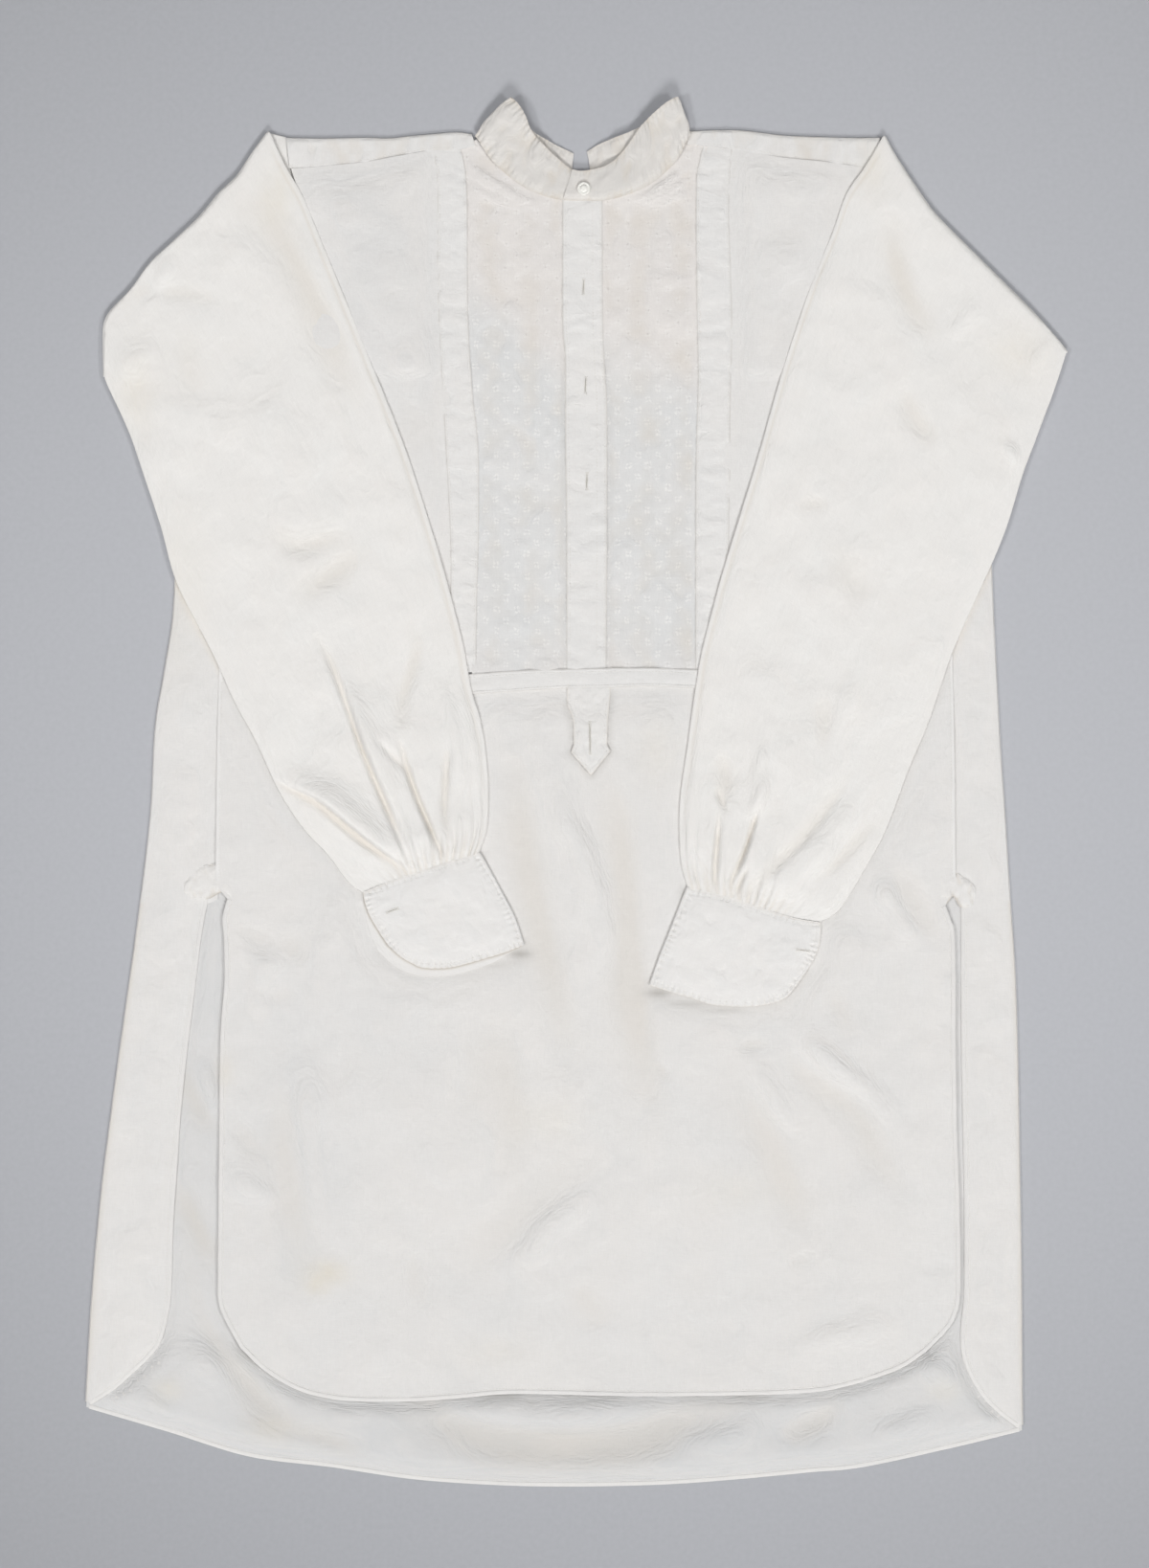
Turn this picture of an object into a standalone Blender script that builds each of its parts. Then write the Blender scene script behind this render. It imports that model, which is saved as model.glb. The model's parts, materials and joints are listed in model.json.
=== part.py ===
"""A white cotton tunic shirt laid flat on its back, front up, sleeves folded over the front.

All sizes are in millimetres and become metres when a mesh is made. X runs across the shirt,
Y from the hem to the collar, Z up. The origin lies under the middle of the whole outline.
The cloth lies in layers: the back on the table, the front on it, then the sleeves and cuffs.
"""
import bisect
import math

import bmesh
import bpy
from mathutils import Vector

MM = 0.001

# Thickness of one layer of cloth, and the gap left where two pieces touch
CLOTH = 1.0
SEAM = 0.3
# Made-up bands are several layers sewn together
BAND_CLOTH = 1.4
# Heights of the middle of each layer above the table
BACK_Z = CLOTH / 2
FRONT_Z = BACK_Z + CLOTH + SEAM
BAND_Z = FRONT_Z - CLOTH / 2 + BAND_CLOTH / 2
ON_FRONT_Z = FRONT_Z + CLOTH + SEAM
# A fold between back and front layers turns on half their distance
SIDE_FOLD = (FRONT_Z - BACK_Z) / 2

# Sleeve walls: the head lies in the back and front layers and turns over at the shoulder fold
HEAD_OUTER_Z = BACK_Z + 0.05
HEAD_INNER_Z = FRONT_Z + 0.05
SLEEVE_TURN_Z = 2.65
TURN_OUTER = SLEEVE_TURN_Z - HEAD_OUTER_Z
TURN_INNER = SLEEVE_TURN_Z - HEAD_INNER_Z

CUFF_UNDER_Z = ON_FRONT_Z
CUFF_TOP_Z = 4.8

WHITE = (0.80, 0.78, 0.74)
CREAM = (0.82, 0.80, 0.76)
VOILE = (0.74, 0.71, 0.68)
PEARL = (0.86, 0.85, 0.80)

# Height up the shirt at which the side seams end and the vents begin
VENT_TOP = -80

# Outlines, each a list of (x, y) from the collar end down or from left to right
SIDE_FOLD_LEFT = [
    (-302.5, 272), (-302.5, 150), (-310, 92), (-317, 49), (-320.5, -16), (-329, -88), (-339, -160),
    (-349, -232), (-358, -304), (-364.5, -376), (-368, -433), (-369.5, -462),
]
SIDE_FOLD_RIGHT = [
    (311, 272), (312.5, 171), (316, 92), (319, 35), (322.5, -16), (326, -73), (330, -131), (332, -189),
    (333.5, -268), (335, -361), (335.5, -433), (336, -479.5),
]
BACK_HEM = [
    (-369.5, -462), (-305, -481), (-246, -499), (-184, -507), (-123, -516), (-59, -520.5), (0, -521.5),
    (66, -520), (122, -516), (174, -511), (215, -507), (280, -493), (336, -479.5),
]
VENT_BACK_LEFT = [
    (-277, -80), (-282, -108), (-287.5, -153), (-293, -197), (-297.5, -241), (-300, -279), (-303, -323),
    (-304.5, -373), (-307.5, -396), (-313, -414), (-322, -425.5), (-334, -437), (-348.5, -449.5),
    (-367.5, -461.5),
]
VENT_BACK_RIGHT = [
    (289, -86), (289, -124), (289.5, -197), (290.5, -253), (291.5, -314), (291.5, -373), (289, -401),
    (289.5, -420), (295, -437), (306, -455), (321, -469.5), (334.5, -479),
]
SIDE_SEAM_LEFT = [(-262, 310), (-265, 164), (-268, 43), (-269.5, -80)]
SIDE_SEAM_RIGHT = [(276, 310), (279.5, 164), (282, 43), (283.5, -86)]
ARMHOLE_LEFT = [
    (-203, 491), (-203.5, 447), (-206, 412), (-218, 366), (-244, 322), (-276, 290), (-302.5, 272),
]
ARMHOLE_RIGHT = [
    (214.5, 491), (214.5, 447), (216, 412), (228, 366), (254, 322), (286, 290), (311, 272),
]
VENT_FRONT_LEFT = [
    (-262, -80), (-265.5, -94), (-264.5, -109), (-264, -141), (-267, -182), (-268, -253), (-269, -358),
    (-268.5, -382), (-263.5, -396), (-252, -417),
]
VENT_FRONT_RIGHT = [
    (277, -85), (281, -96), (284, -112), (284.5, -197), (285.5, -253), (287.5, -314), (288, -373),
    (284.5, -393), (277, -405), (262, -420),
]
FRONT_HEM = [
    (-252, -417), (-234, -434), (-208, -449), (-184, -455), (-161, -457), (-123, -457), (-88, -454.5),
    (-52.5, -451.5), (0, -452), (48, -453), (113, -452.5), (174, -450.5), (203.5, -445.5), (230, -437.5),
    (247.5, -430), (262, -420),
]
BACK_YOKE_SEAM = [(-206, 420.5), (0, 418), (216, 420.5)]
SHOULDER_LEFT = [
    (-203, 492), (-185, 492), (-158, 492.5), (-141, 492), (-122, 494), (-91, 496.5), (-78.5, 495),
]
SHOULDER_RIGHT = [(83.5, 497.5), (122, 498), (158, 494), (202, 492.5), (214.5, 492.5)]
YOKE_SEAM_LEFT = [
    (-203, 469.5), (-186, 471), (-158, 474), (-130, 479), (-108, 482.5), (-89, 483), (-76, 486),
]
YOKE_SEAM_RIGHT = [(83, 487), (95, 486), (117, 484), (152.5, 477.5), (186, 474), (214.5, 470)]
BACK_NECK = [
    (-77.5, 491), (-70, 482), (-60, 474), (-38, 464), (-16, 459), (4, 457), (27, 459), (49, 463.5),
    (68, 473), (77, 482), (82.5, 492),
]
NECK_SEAM_LEFT = [
    (-87.5, 483), (-75, 486), (-64.5, 474.5), (-50, 461.5), (-35, 453.5), (-23, 448), (-10.5, 445),
]
NECK_SEAM_RIGHT = [
    (19.5, 444.5), (33, 446.5), (46, 452), (61, 460), (74, 472), (83, 486), (96.5, 485.5),
]
BAND_OUTER_LEFT = [
    (-108, 482), (-104.5, 458.5), (-104.5, 403), (-103, 348.5), (-100, 293), (-97, 238), (-94.5, 183),
    (-94.5, 92),
]
BAND_INNER_LEFT = [
    (-87, 482.5), (-82.5, 453.5), (-81.5, 360), (-78, 299), (-75, 275), (-73.5, 248.5), (-73.5, 195),
    (-75, 141), (-75.5, 90),
]
BAND_INNER_RIGHT = [
    (96, 485.5), (92.5, 474.5), (90, 453.5), (90.5, 360), (91.5, 314.5), (90, 261.5), (89.5, 195),
    (89.5, 92),
]
BAND_OUTER_RIGHT = [
    (117, 482.5), (114.5, 442), (115.5, 403), (117, 348.5), (115.5, 293), (115.5, 238), (114.5, 193),
    (114, 92),
]
PLACKET_LEFT = [(-10.5, 444), (-10.5, 355), (-8.5, 328.5), (-8.5, 275), (-7.5, 195), (-7.5, 93)]
PLACKET_RIGHT = [(19.5, 444), (20, 355), (21.5, 314.5), (23, 288), (23, 195), (22.5, 93.5)]
WAIST_TOP = [(-94.5, 86.5), (-42, 90.5), (-7, 91.5), (46, 92.5), (90, 91), (114, 90)]
WAIST_FOOT = [(-94.5, 73), (-42, 76.5), (-7, 78.5), (24.5, 79), (55.5, 80), (90, 78.5), (114, 77.5)]
TAB = [
    (-7, 77), (-7, 66), (-2.5, 54), (-2, 36), (-4, 30), (11, 13), (25.5, 31), (23, 36), (23.5, 54),
    (25.5, 74), (25.5, 77),
]
GUSSET_LEFT = [
    (-296, -68), (-289, -60), (-279, -55), (-268, -53.5), (-253, -56), (-239, -60), (-250, -76),
    (-261, -88), (-262.5, -79), (-267, -75), (-277, -80), (-294, -79),
]
GUSSET_RIGHT = [
    (269.5, -84), (277, -84.5), (283, -78), (288.5, -86), (298, -84), (299, -71), (291, -64), (284, -60),
    (275, -61.5), (269, -66),
]
FOLD_LEFT = [
    (-232.5, 496.5), (-244, 481), (-256, 463), (-268, 452), (-283, 434), (-302, 416), (-321, 398),
    (-334, 380), (-351, 362), (-355.5, 352), (-356, 335), (-355.5, 313),
]
FOLD_RIGHT = [
    (232.5, 493), (241, 477.5), (263, 444.5), (274.5, 430.5), (310, 395), (343, 362), (360, 343), (369, 332),
]
SLEEVE_INNER_LEFT = [
    (-232.5, 496.5), (-217.5, 469.5), (-204.5, 447), (-193.5, 420), (-157.5, 332), (-130, 263), (-112, 209),
    (-98.5, 164), (-85, 112), (-79, 79), (-72.5, 57), (-68.5, 35), (-66, 7), (-67, -26), (-73, -46),
]
SLEEVE_OUTER_LEFT = [
    (-355.5, 313), (-353.5, 308), (-337, 272), (-324.5, 236), (-312.5, 200), (-301, 159), (-283, 123),
    (-270.5, 98.5), (-257, 68.5), (-240.5, 38), (-224, 2), (-205, -27), (-186, -47.5), (-171.5, -67),
    (-160, -75.5),
]
SLEEVE_INNER_RIGHT = [
    (232.5, 493), (216, 469.5), (202.5, 450), (191.5, 420), (175, 379), (155.5, 320.5), (136, 252),
    (119.5, 198), (108.5, 162), (101, 134), (93.5, 104), (88, 70.5), (83, 35), (78, -1), (77, -26),
    (78.5, -53), (83.5, -72),
]
SLEEVE_OUTER_RIGHT = [
    (369, 332), (359.5, 304), (345.5, 266), (335, 238), (324, 202), (312.5, 173), (297.5, 140), (282, 104),
    (274.5, 82), (263, 49), (249, 16), (232.5, -28), (216, -58.5), (197.5, -88), (183, -97.5),
]
CUFF_SEAM_LEFT = [(-73, -46), (-95, -52), (-120, -60.5), (-140, -67.5), (-160, -75.5)]
CUFF_SEAM_RIGHT = [(83.5, -72), (112.5, -78.5), (142.5, -88.5), (165, -95), (183, -98)]
CUFF_FOLD_LEFT = [(-73, -46), (-58.5, -69), (-46, -93.5), (-39, -114)]
CUFF_FOLD_RIGHT = [(83.5, -72), (72, -98), (62, -123), (54.5, -144)]
CUFF_FREE_LEFT = [(-160, -75.5), (-158.5, -83), (-155, -92.5), (-149, -103), (-141.5, -114.5)]
CUFF_FREE_RIGHT = [(183, -98), (183, -108), (180, -121.5), (172, -135.5)]
CUFF_EDGE_LEFT = [
    (-39, -114), (-54, -120), (-65.5, -123.5), (-83, -128.5), (-97, -131.5), (-114.5, -131.5),
    (-122.5, -128.5), (-132, -123), (-141.5, -114.5),
]
CUFF_EDGE_RIGHT = [
    (54.5, -144), (72, -150), (85, -153.5), (102, -159), (127.5, -160.5), (142.5, -159), (155, -155),
    (162.5, -148.5), (172, -135.5),
]
CUFF_UNDER_FREE_LEFT = [(-160, -75.5), (-159.5, -86), (-155, -105), (-148.5, -119.5)]
CUFF_UNDER_EDGE_LEFT = [
    (-39, -114), (-60.5, -126.5), (-75, -132), (-91.5, -136.5), (-107, -138), (-122.5, -136.5),
    (-135.5, -131), (-148.5, -119.5),
]

# Neckband stations from the front overlap round to the centre back:
# foot edge x, y, height of its middle, then the same of the top edge
COLLAR_LEFT = [
    (25, 446.5, 3.1, 27, 469, 3.1),
    (5, 445, 3.1, 5, 467, 3.1),
    (-10.5, 445.5, 3.1, -4, 468.5, 3.4),
    (-30, 450.5, 3.2, -12.5, 475, 4.2),
    (-49, 461.5, 3.4, -23, 484.5, 5.4),
    (-63.5, 475, 3.8, -33, 495.5, 7.4),
    (-70, 484, 4.3, -38.5, 508, 9.6),
    (-73, 489, 4.6, -44, 516.5, 11.0),
    (-76.5, 493.5, 3.7, -49.5, 521.5, 9.8),
    (-73, 490.5, 2.7, -45, 516, 8.4),
    (-64, 482, 1.9, -35, 499, 5.4),
    (-40, 469, 0.9, -20.5, 489.5, 2.4),
    (-4, 461.5, 0.5, -2, 480.5, 0.5),
]
COLLAR_RIGHT = [
    (-10, 445.5, 4.4, -3, 468, 4.4),
    (5, 445, 4.4, 5, 467, 4.4),
    (20, 445, 4.4, 22.5, 471, 4.6),
    (39, 449.5, 4.2, 35, 481.5, 5.6),
    (57, 458.5, 4.0, 48.5, 500, 7.4),
    (71, 470, 4.2, 59, 510.5, 9.2),
    (79, 481, 4.6, 66.5, 516.5, 10.6),
    (82, 488, 4.8, 71.5, 519.5, 11.2),
    (85.5, 494.5, 3.8, 76.5, 521.5, 9.9),
    (81, 489.5, 2.8, 69.5, 517, 8.4),
    (73.5, 481.5, 2.0, 49, 500.5, 5.4),
    (49, 467.5, 0.9, 19.5, 488.5, 2.2),
    (11.5, 461.5, 0.5, 8, 482, 0.5),
]

# Profile of the turned button as (radius, height), and where its foot rests on the neckband
BUTTON_PROFILE = [
    (0.0, 0.0), (4.6, 0.0), (5.0, 0.5), (5.0, 1.1), (4.4, 1.6), (3.4, 1.7), (2.2, 1.9), (0.0, 2.1),
]
BUTTON_PLACE = (5.5, 453.5, 5.2)
BUTTON_STEPS = 20

# Main folds in the top wall of a sleeve: start x, y, end x, y, half width, height (minus is a trough)
SLEEVE_FOLDS_LEFT = [
    (-199, 126, -120, -52, 9, -2.0),
    (-228, 14, -122, -56, 8, 2.4),
    (-133, 32, -101, -46, 7, -1.6),
    (-95, 50, -99, 0, 7, -1.4),
]
SLEEVE_FOLDS_RIGHT = [
    (112, -68, 134, -22, 7, -2.0),
    (103, -66, 109, -10, 6, 1.8),
    (131, -76, 192, 2, 9, 1.8),
    (200, 60, 172, -70, 12, -1.4),
]
# Gathers: waves across the seam to the cuff, how far up the sleeve they run, and their height
GATHER_COUNT = 9
GATHER_LENGTH = 95
GATHER_HEIGHT = 1.6
SLEEVE_LOFT = 2.0
CUFF_LOFT = 2.2

# Room kept between the sleeve's head and the curved armhole, and at the yoke's two ends
ARMHOLE_EASE = 1.2
YOKE_EASE = 0.6
# Room kept between the neckband's seam and the top edge of the bosom
NECK_EASE = 0.8

# The sleeve's underside sinks to the table where it hangs past the side of the shirt
DROP_START = 18
DROP_END = 38
DROP = SLEEVE_TURN_Z + TURN_INNER - BACK_Z - 0.2

# Half a wall, kept inside the outline at a sleeve's long edges, and the room at the cuff's seam
EDGE = 0.9
CUFF_EASE = 0.6
# How far a sleeve's long edges bulge past its walls
SLEEVE_TIP = 0.35
# Way that the folded edge of the left cuff faces
CUFF_FOLD_WAY = (0.85, 0.5)

# Rows of points, as fractions of the way down each part
ARMHOLE_ROWS = [0.0, 0.2, 0.4, 0.6, 0.78, 0.91]
SIDE_ROWS = [0.0, 0.06, 0.2, 0.4, 0.6, 0.8, 0.975, 1.0]
TAIL_ROWS = [0.06, 0.13, 0.28, 0.43, 0.58, 0.7, 0.79, 0.86, 0.92, 0.965, 0.99, 1.0]
VENT_ROWS = [0.0, 0.04, 0.1, 0.2, 0.35, 0.5, 0.65, 0.8, 0.9, 0.95, 1.0]
YOKE_ROWS = [0.0, 0.4, 0.75, 1.0]
SLEEVE_ROWS = [
    0.0, 0.03, 0.08, 0.15, 0.23, 0.31, 0.39, 0.47, 0.55, 0.63, 0.71, 0.78, 0.84, 0.89, 0.93, 0.965, 1.0,
]
SLEEVE_LOWER_COLUMNS = [0.0, 0.14, 0.28, 0.42, 0.55, 0.66, 0.76, 0.84, 0.92, 1.0]
CUFF_COLUMNS = [1.0, 0.95, 0.87, 0.75, 0.6, 0.45, 0.3, 0.15, 0.0]
CUFF_ROWS = [0.0, 0.25, 0.5, 0.75, 0.92, 1.0]


class Path:
    """A smooth curve through a few points, read by the fraction of its length."""

    def __init__(self, points, steps=12):
        points = [tuple(map(float, p)) for p in points]
        ends = [self.beyond(points[0], points[1])] + points + [self.beyond(points[-1], points[-2])]
        self.line = []
        for i in range(1, len(ends) - 2):
            for k in range(steps):
                self.line.append(self.blend(ends[i - 1:i + 3], k / steps))
        self.line.append(points[-1])
        self.length = [0.0]
        for a, b in zip(self.line, self.line[1:]):
            self.length.append(self.length[-1] + math.dist(a, b))

    @staticmethod
    def beyond(end, inner):
        return tuple(2 * e - i for e, i in zip(end, inner))

    @staticmethod
    def blend(four, t):
        a, b, c, d = four
        return tuple(
            0.5 * (2 * q + (r - p) * t + (2 * p - 5 * q + 4 * r - s) * t * t
                   + (3 * q - p - 3 * r + s) * t ** 3)
            for p, q, r, s in zip(a, b, c, d))

    def at(self, t):
        wanted = min(max(t, 0.0), 1.0) * self.length[-1]
        i = min(max(bisect.bisect_right(self.length, wanted) - 1, 0), len(self.line) - 2)
        span = self.length[i + 1] - self.length[i]
        k = (wanted - self.length[i]) / span if span else 0.0
        return tuple(a + (b - a) * k for a, b in zip(self.line[i], self.line[i + 1]))

    def across(self, value, known=1, read=0):
        """Where the curve's known coordinate passes a value, the other coordinate."""
        for a, b in zip(self.line, self.line[1:]):
            if min(a[known], b[known]) <= value <= max(a[known], b[known]) and a[known] != b[known]:
                return a[read] + (b[read] - a[read]) * (value - a[known]) / (b[known] - a[known])
        ends = (self.line[0], self.line[-1])
        return min(ends, key=lambda p: abs(p[known] - value))[read]


class Table:
    """Points read by the fractions they were stored under."""

    def __init__(self, keys, points):
        self.keys = keys
        self.points = points

    def at(self, t):
        i = min(max(bisect.bisect_right(self.keys, t) - 1, 0), len(self.keys) - 2)
        k = (t - self.keys[i]) / (self.keys[i + 1] - self.keys[i])
        return tuple(a + (b - a) * k for a, b in zip(self.points[i], self.points[i + 1]))


def spread(count, low=0.0, high=1.0):
    return [low + (high - low) * i / (count - 1) for i in range(count)]


def smooth(t):
    t = min(max(t, 0.0), 1.0)
    return t * t * (3 - 2 * t)


def patch(top, foot, left, right, us, vs):
    """Points of a sheet between four edges, as rows from the top edge to the foot edge."""
    rows = []
    corners = (top.at(0), top.at(1), foot.at(0), foot.at(1))
    for v in vs:
        row = []
        for u in us:
            row.append(tuple(
                (1 - v) * t + v * f + (1 - u) * a + u * b
                - (1 - u) * (1 - v) * p - u * (1 - v) * q - (1 - u) * v * r - u * v * s
                for t, f, a, b, p, q, r, s in zip(
                    top.at(u), foot.at(u), left.at(v), right.at(v), *corners)))
        rows.append(row)
    return rows


class Row:
    """One row of a patch between four edges, read by the fraction across it."""

    def __init__(self, start, end, first, last, v):
        self.paths = (start, end, first, last)
        self.v = v

    def at(self, s):
        start, end, first, last = self.paths
        return patch(start, end, first, last, [s], [self.v])[0][0]


def moved(points, dx=0.0, dy=0.0):
    return [(x + dx, y + dy) for x, y in points]


def inset(points, distance):
    """An open outline moved sideways, to the left of its direction of travel."""
    result = []
    for i, (x, y) in enumerate(points):
        ax, ay = points[max(i - 1, 0)]
        bx, by = points[min(i + 1, len(points) - 1)]
        size = math.hypot(bx - ax, by - ay)
        result.append((x - (by - ay) / size * distance, y + (bx - ax) / size * distance))
    return result


def material(name, colour, roughness=0.85):
    made = bpy.data.materials.new(name)
    made.use_nodes = True
    shader = made.node_tree.nodes["Principled BSDF"]
    shader.inputs["Base Color"].default_value = (*colour, 1.0)
    shader.inputs["Roughness"].default_value = roughness
    shader.inputs["Metallic"].default_value = 0.0
    made.diffuse_color = (*colour, 1.0)
    return made


def new_object(name, mesh, colour, roughness=0.85):
    made = bpy.data.objects.new(name, mesh)
    bpy.data.collections["tunic_shirt"].objects.link(made)
    mesh.materials.append(material(name, colour, roughness))
    return made


def thicken(made, thickness, even=True):
    solid = made.modifiers.new("cloth", "SOLIDIFY")
    solid.thickness = thickness * MM
    solid.offset = 0.0
    solid.use_even_offset = even
    return made


def sheet(name, rows, colour, thickness=CLOTH, keep=None, closed=False, even=True):
    """A wall of cloth on a grid of middle points. keep(row, column) leaves faces out."""
    mesh = bpy.data.meshes.new(name)
    bm = bmesh.new()
    grid = [[bm.verts.new([c * MM for c in point]) for point in row] for row in rows]
    columns = len(rows[0])
    for r in range(len(rows) - 1):
        for c in range(columns if closed else columns - 1):
            if keep is None or keep(r, c):
                d = (c + 1) % columns
                bm.faces.new((grid[r][c], grid[r + 1][c], grid[r + 1][d], grid[r][d]))
    bmesh.ops.delete(bm, geom=[v for v in bm.verts if not v.link_faces], context="VERTS")
    bm.to_mesh(mesh)
    bm.free()
    mesh.shade_smooth()
    mesh.set_sharp_from_angle(angle=math.radians(50))
    return thicken(new_object(name, mesh, colour), thickness, even)


def level(rows, height):
    return [[(x, y, height) for x, y in row] for row in rows]


def cut_out(name, outline, height, colour, thickness=CLOTH):
    """A flat piece cut to an outline, lying at a height."""
    curve = bpy.data.curves.new(name, "CURVE")
    curve.dimensions = "2D"
    curve.fill_mode = "BOTH"
    curve.extrude = thickness / 2 * MM
    line = curve.splines.new("POLY")
    line.points.add(len(outline) - 1)
    for point, (x, y) in zip(line.points, outline):
        point.co = (x * MM, y * MM, 0.0, 1.0)
    line.use_cyclic_u = True
    made = new_object(name, curve, colour)
    made.location.z = height * MM
    return made


def turn(count):
    """Half turn from the lower layer to the upper one, as (outward, upward) of a unit circle."""
    return [(math.sin(math.pi * i / count), -math.cos(math.pi * i / count)) for i in range(count + 1)]


def back():
    """The back panel, whose sides wrap round to the front and hang free below the vents."""
    folds = (Path(SIDE_FOLD_LEFT), Path(SIDE_FOLD_RIGHT))
    seams = (Path(SIDE_SEAM_LEFT), Path(SIDE_SEAM_RIGHT))
    vents = (Path(VENT_BACK_LEFT), Path(VENT_BACK_RIGHT))
    arms = (Path(ARMHOLE_LEFT), Path(ARMHOLE_RIGHT))
    hem = Path(BACK_HEM)
    top = Path(moved(BACK_YOKE_SEAM, dy=-SEAM))
    underarm = ARMHOLE_LEFT[-1][1]
    across = spread(13)
    strip = spread(4)
    bend = turn(4)
    side_columns = len(strip) + len(bend) - 2

    def free_edge(side, y):
        path = seams[side] if y > VENT_TOP else vents[side]
        middle = 1 if side == 0 else -1
        return path.across(y) - middle * SEAM / 2

    rows = []
    for h in ARMHOLE_ROWS:
        ends = []
        for side in (0, 1):
            x0, y0 = top.at(side)
            y = y0 + (underarm - y0) * h
            inward = 1 if side == 0 else -1
            ends.append((arms[side].across(y) + inward * CLOTH, y))
        row = []
        for u in across:
            x = ends[0][0] + (ends[1][0] - ends[0][0]) * u
            y = ends[0][1] if h else top.across(x, 0, 1)
            row.append((x, y, BACK_Z))
        rows.append([row[0]] * side_columns + row + [row[-1]] * side_columns)
    upper = len(rows)
    for zone, t in [("side", t) for t in SIDE_ROWS] + [("tail", t) for t in TAIL_ROWS]:
        left, right = [], []
        for side, points in ((0, left), (1, right)):
            hem_y = hem.at(side)[1]
            start, end = (underarm, VENT_TOP) if zone == "side" else (VENT_TOP, hem_y)
            y = start + (end - start) * t
            fold_x = folds[side].across(y)
            inward = 1 if side == 0 else -1
            centre = fold_x + inward * (CLOTH / 2 + SIDE_FOLD)
            near_arm = (1 - smooth(t / 0.3)) if zone == "side" else 0.0
            for s in reversed(strip[1:]):
                x = centre + (free_edge(side, y) - centre) * s
                lift = (arms[side].across(x, 0, 1) - CLOTH - underarm) * near_arm
                x = centre + (free_edge(side, y + lift) - centre) * s
                points.append((x, y + lift, FRONT_Z))
            for out, up in reversed(bend):
                points.append((centre - inward * SIDE_FOLD * out, y, BACK_Z + SIDE_FOLD * (1 + up)))
        x0, y0 = left[-1][:2]
        x1, y1 = right[-1][:2]
        row = []
        for u in across[1:-1]:
            x = x0 + (x1 - x0) * u
            base = y0 + (y1 - y0) * u
            if zone == "tail":
                base = VENT_TOP + (hem.across(x, 0, 1) - VENT_TOP) * t
            row.append((x, base, BACK_Z))
        rows.append(left + row + right[::-1])
    last = len(rows) - 2

    def keep(r, c):
        middle = side_columns <= c < side_columns + len(across) - 1
        return middle or (upper <= r < last)

    return sheet("back", rows, WHITE, keep=keep)


def yoke():
    """The back yoke, folded over both shoulders to the strips sewn to the front."""
    parts = (
        (Path(SHOULDER_LEFT), Path(YOKE_SEAM_LEFT), 7),
        (Path(BACK_NECK), None, 11),
        (Path(SHOULDER_RIGHT), Path(YOKE_SEAM_RIGHT), 7),
    )
    seam = Path(moved(BACK_YOKE_SEAM, dy=SEAM))
    tops, feet, kinds = [], [], []
    for index, (shoulder, front, count) in enumerate(parts):
        for t in spread(count) if front else spread(count)[1:-1]:
            x, y = shoulder.at(t)
            tops.append((x, y))
            feet.append(front.at(t) if front else (x, y))
            kinds.append(index)
    low = [(x, seam.across(x, 0, 1)) for x, _ in tops]
    shift = CLOTH / 2 + SIDE_FOLD
    ends = (tops[0][0] + YOKE_EASE, tops[-1][0] - YOKE_EASE)

    def column(i):
        x, y = tops[i]
        x = min(max(x, ends[0]), ends[1])
        folded = kinds[i] != 1 or i in (first_neck, last_neck)
        y_in = y - shift if folded else y
        points = [(x, low[i][1] + (y_in - low[i][1]) * t, BACK_Z) for t in YOKE_ROWS]
        for out, up in turn(4)[1:]:
            points.append((x, y_in + SIDE_FOLD * out, BACK_Z + SIDE_FOLD * (1 + up)))
        foot_x, foot_y = feet[i]
        foot_x = min(max(foot_x, ends[0]), ends[1])
        for t in (0.5, 1.0):
            points.append((x + (foot_x - x) * t, y_in + (foot_y + SEAM - y_in) * t, FRONT_Z))
        return points

    first_neck = kinds.index(1) - 1
    last_neck = kinds.index(2)
    columns = [column(i) for i in range(len(tops))]
    rows = [[col[r] for col in columns] for r in range(len(columns[0]))]

    def keep(r, c):
        return r < 3 or not first_neck <= c < last_neck

    return sheet("yoke", rows[::-1], WHITE, keep=lambda r, c: keep(len(rows) - 2 - r, c))


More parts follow.
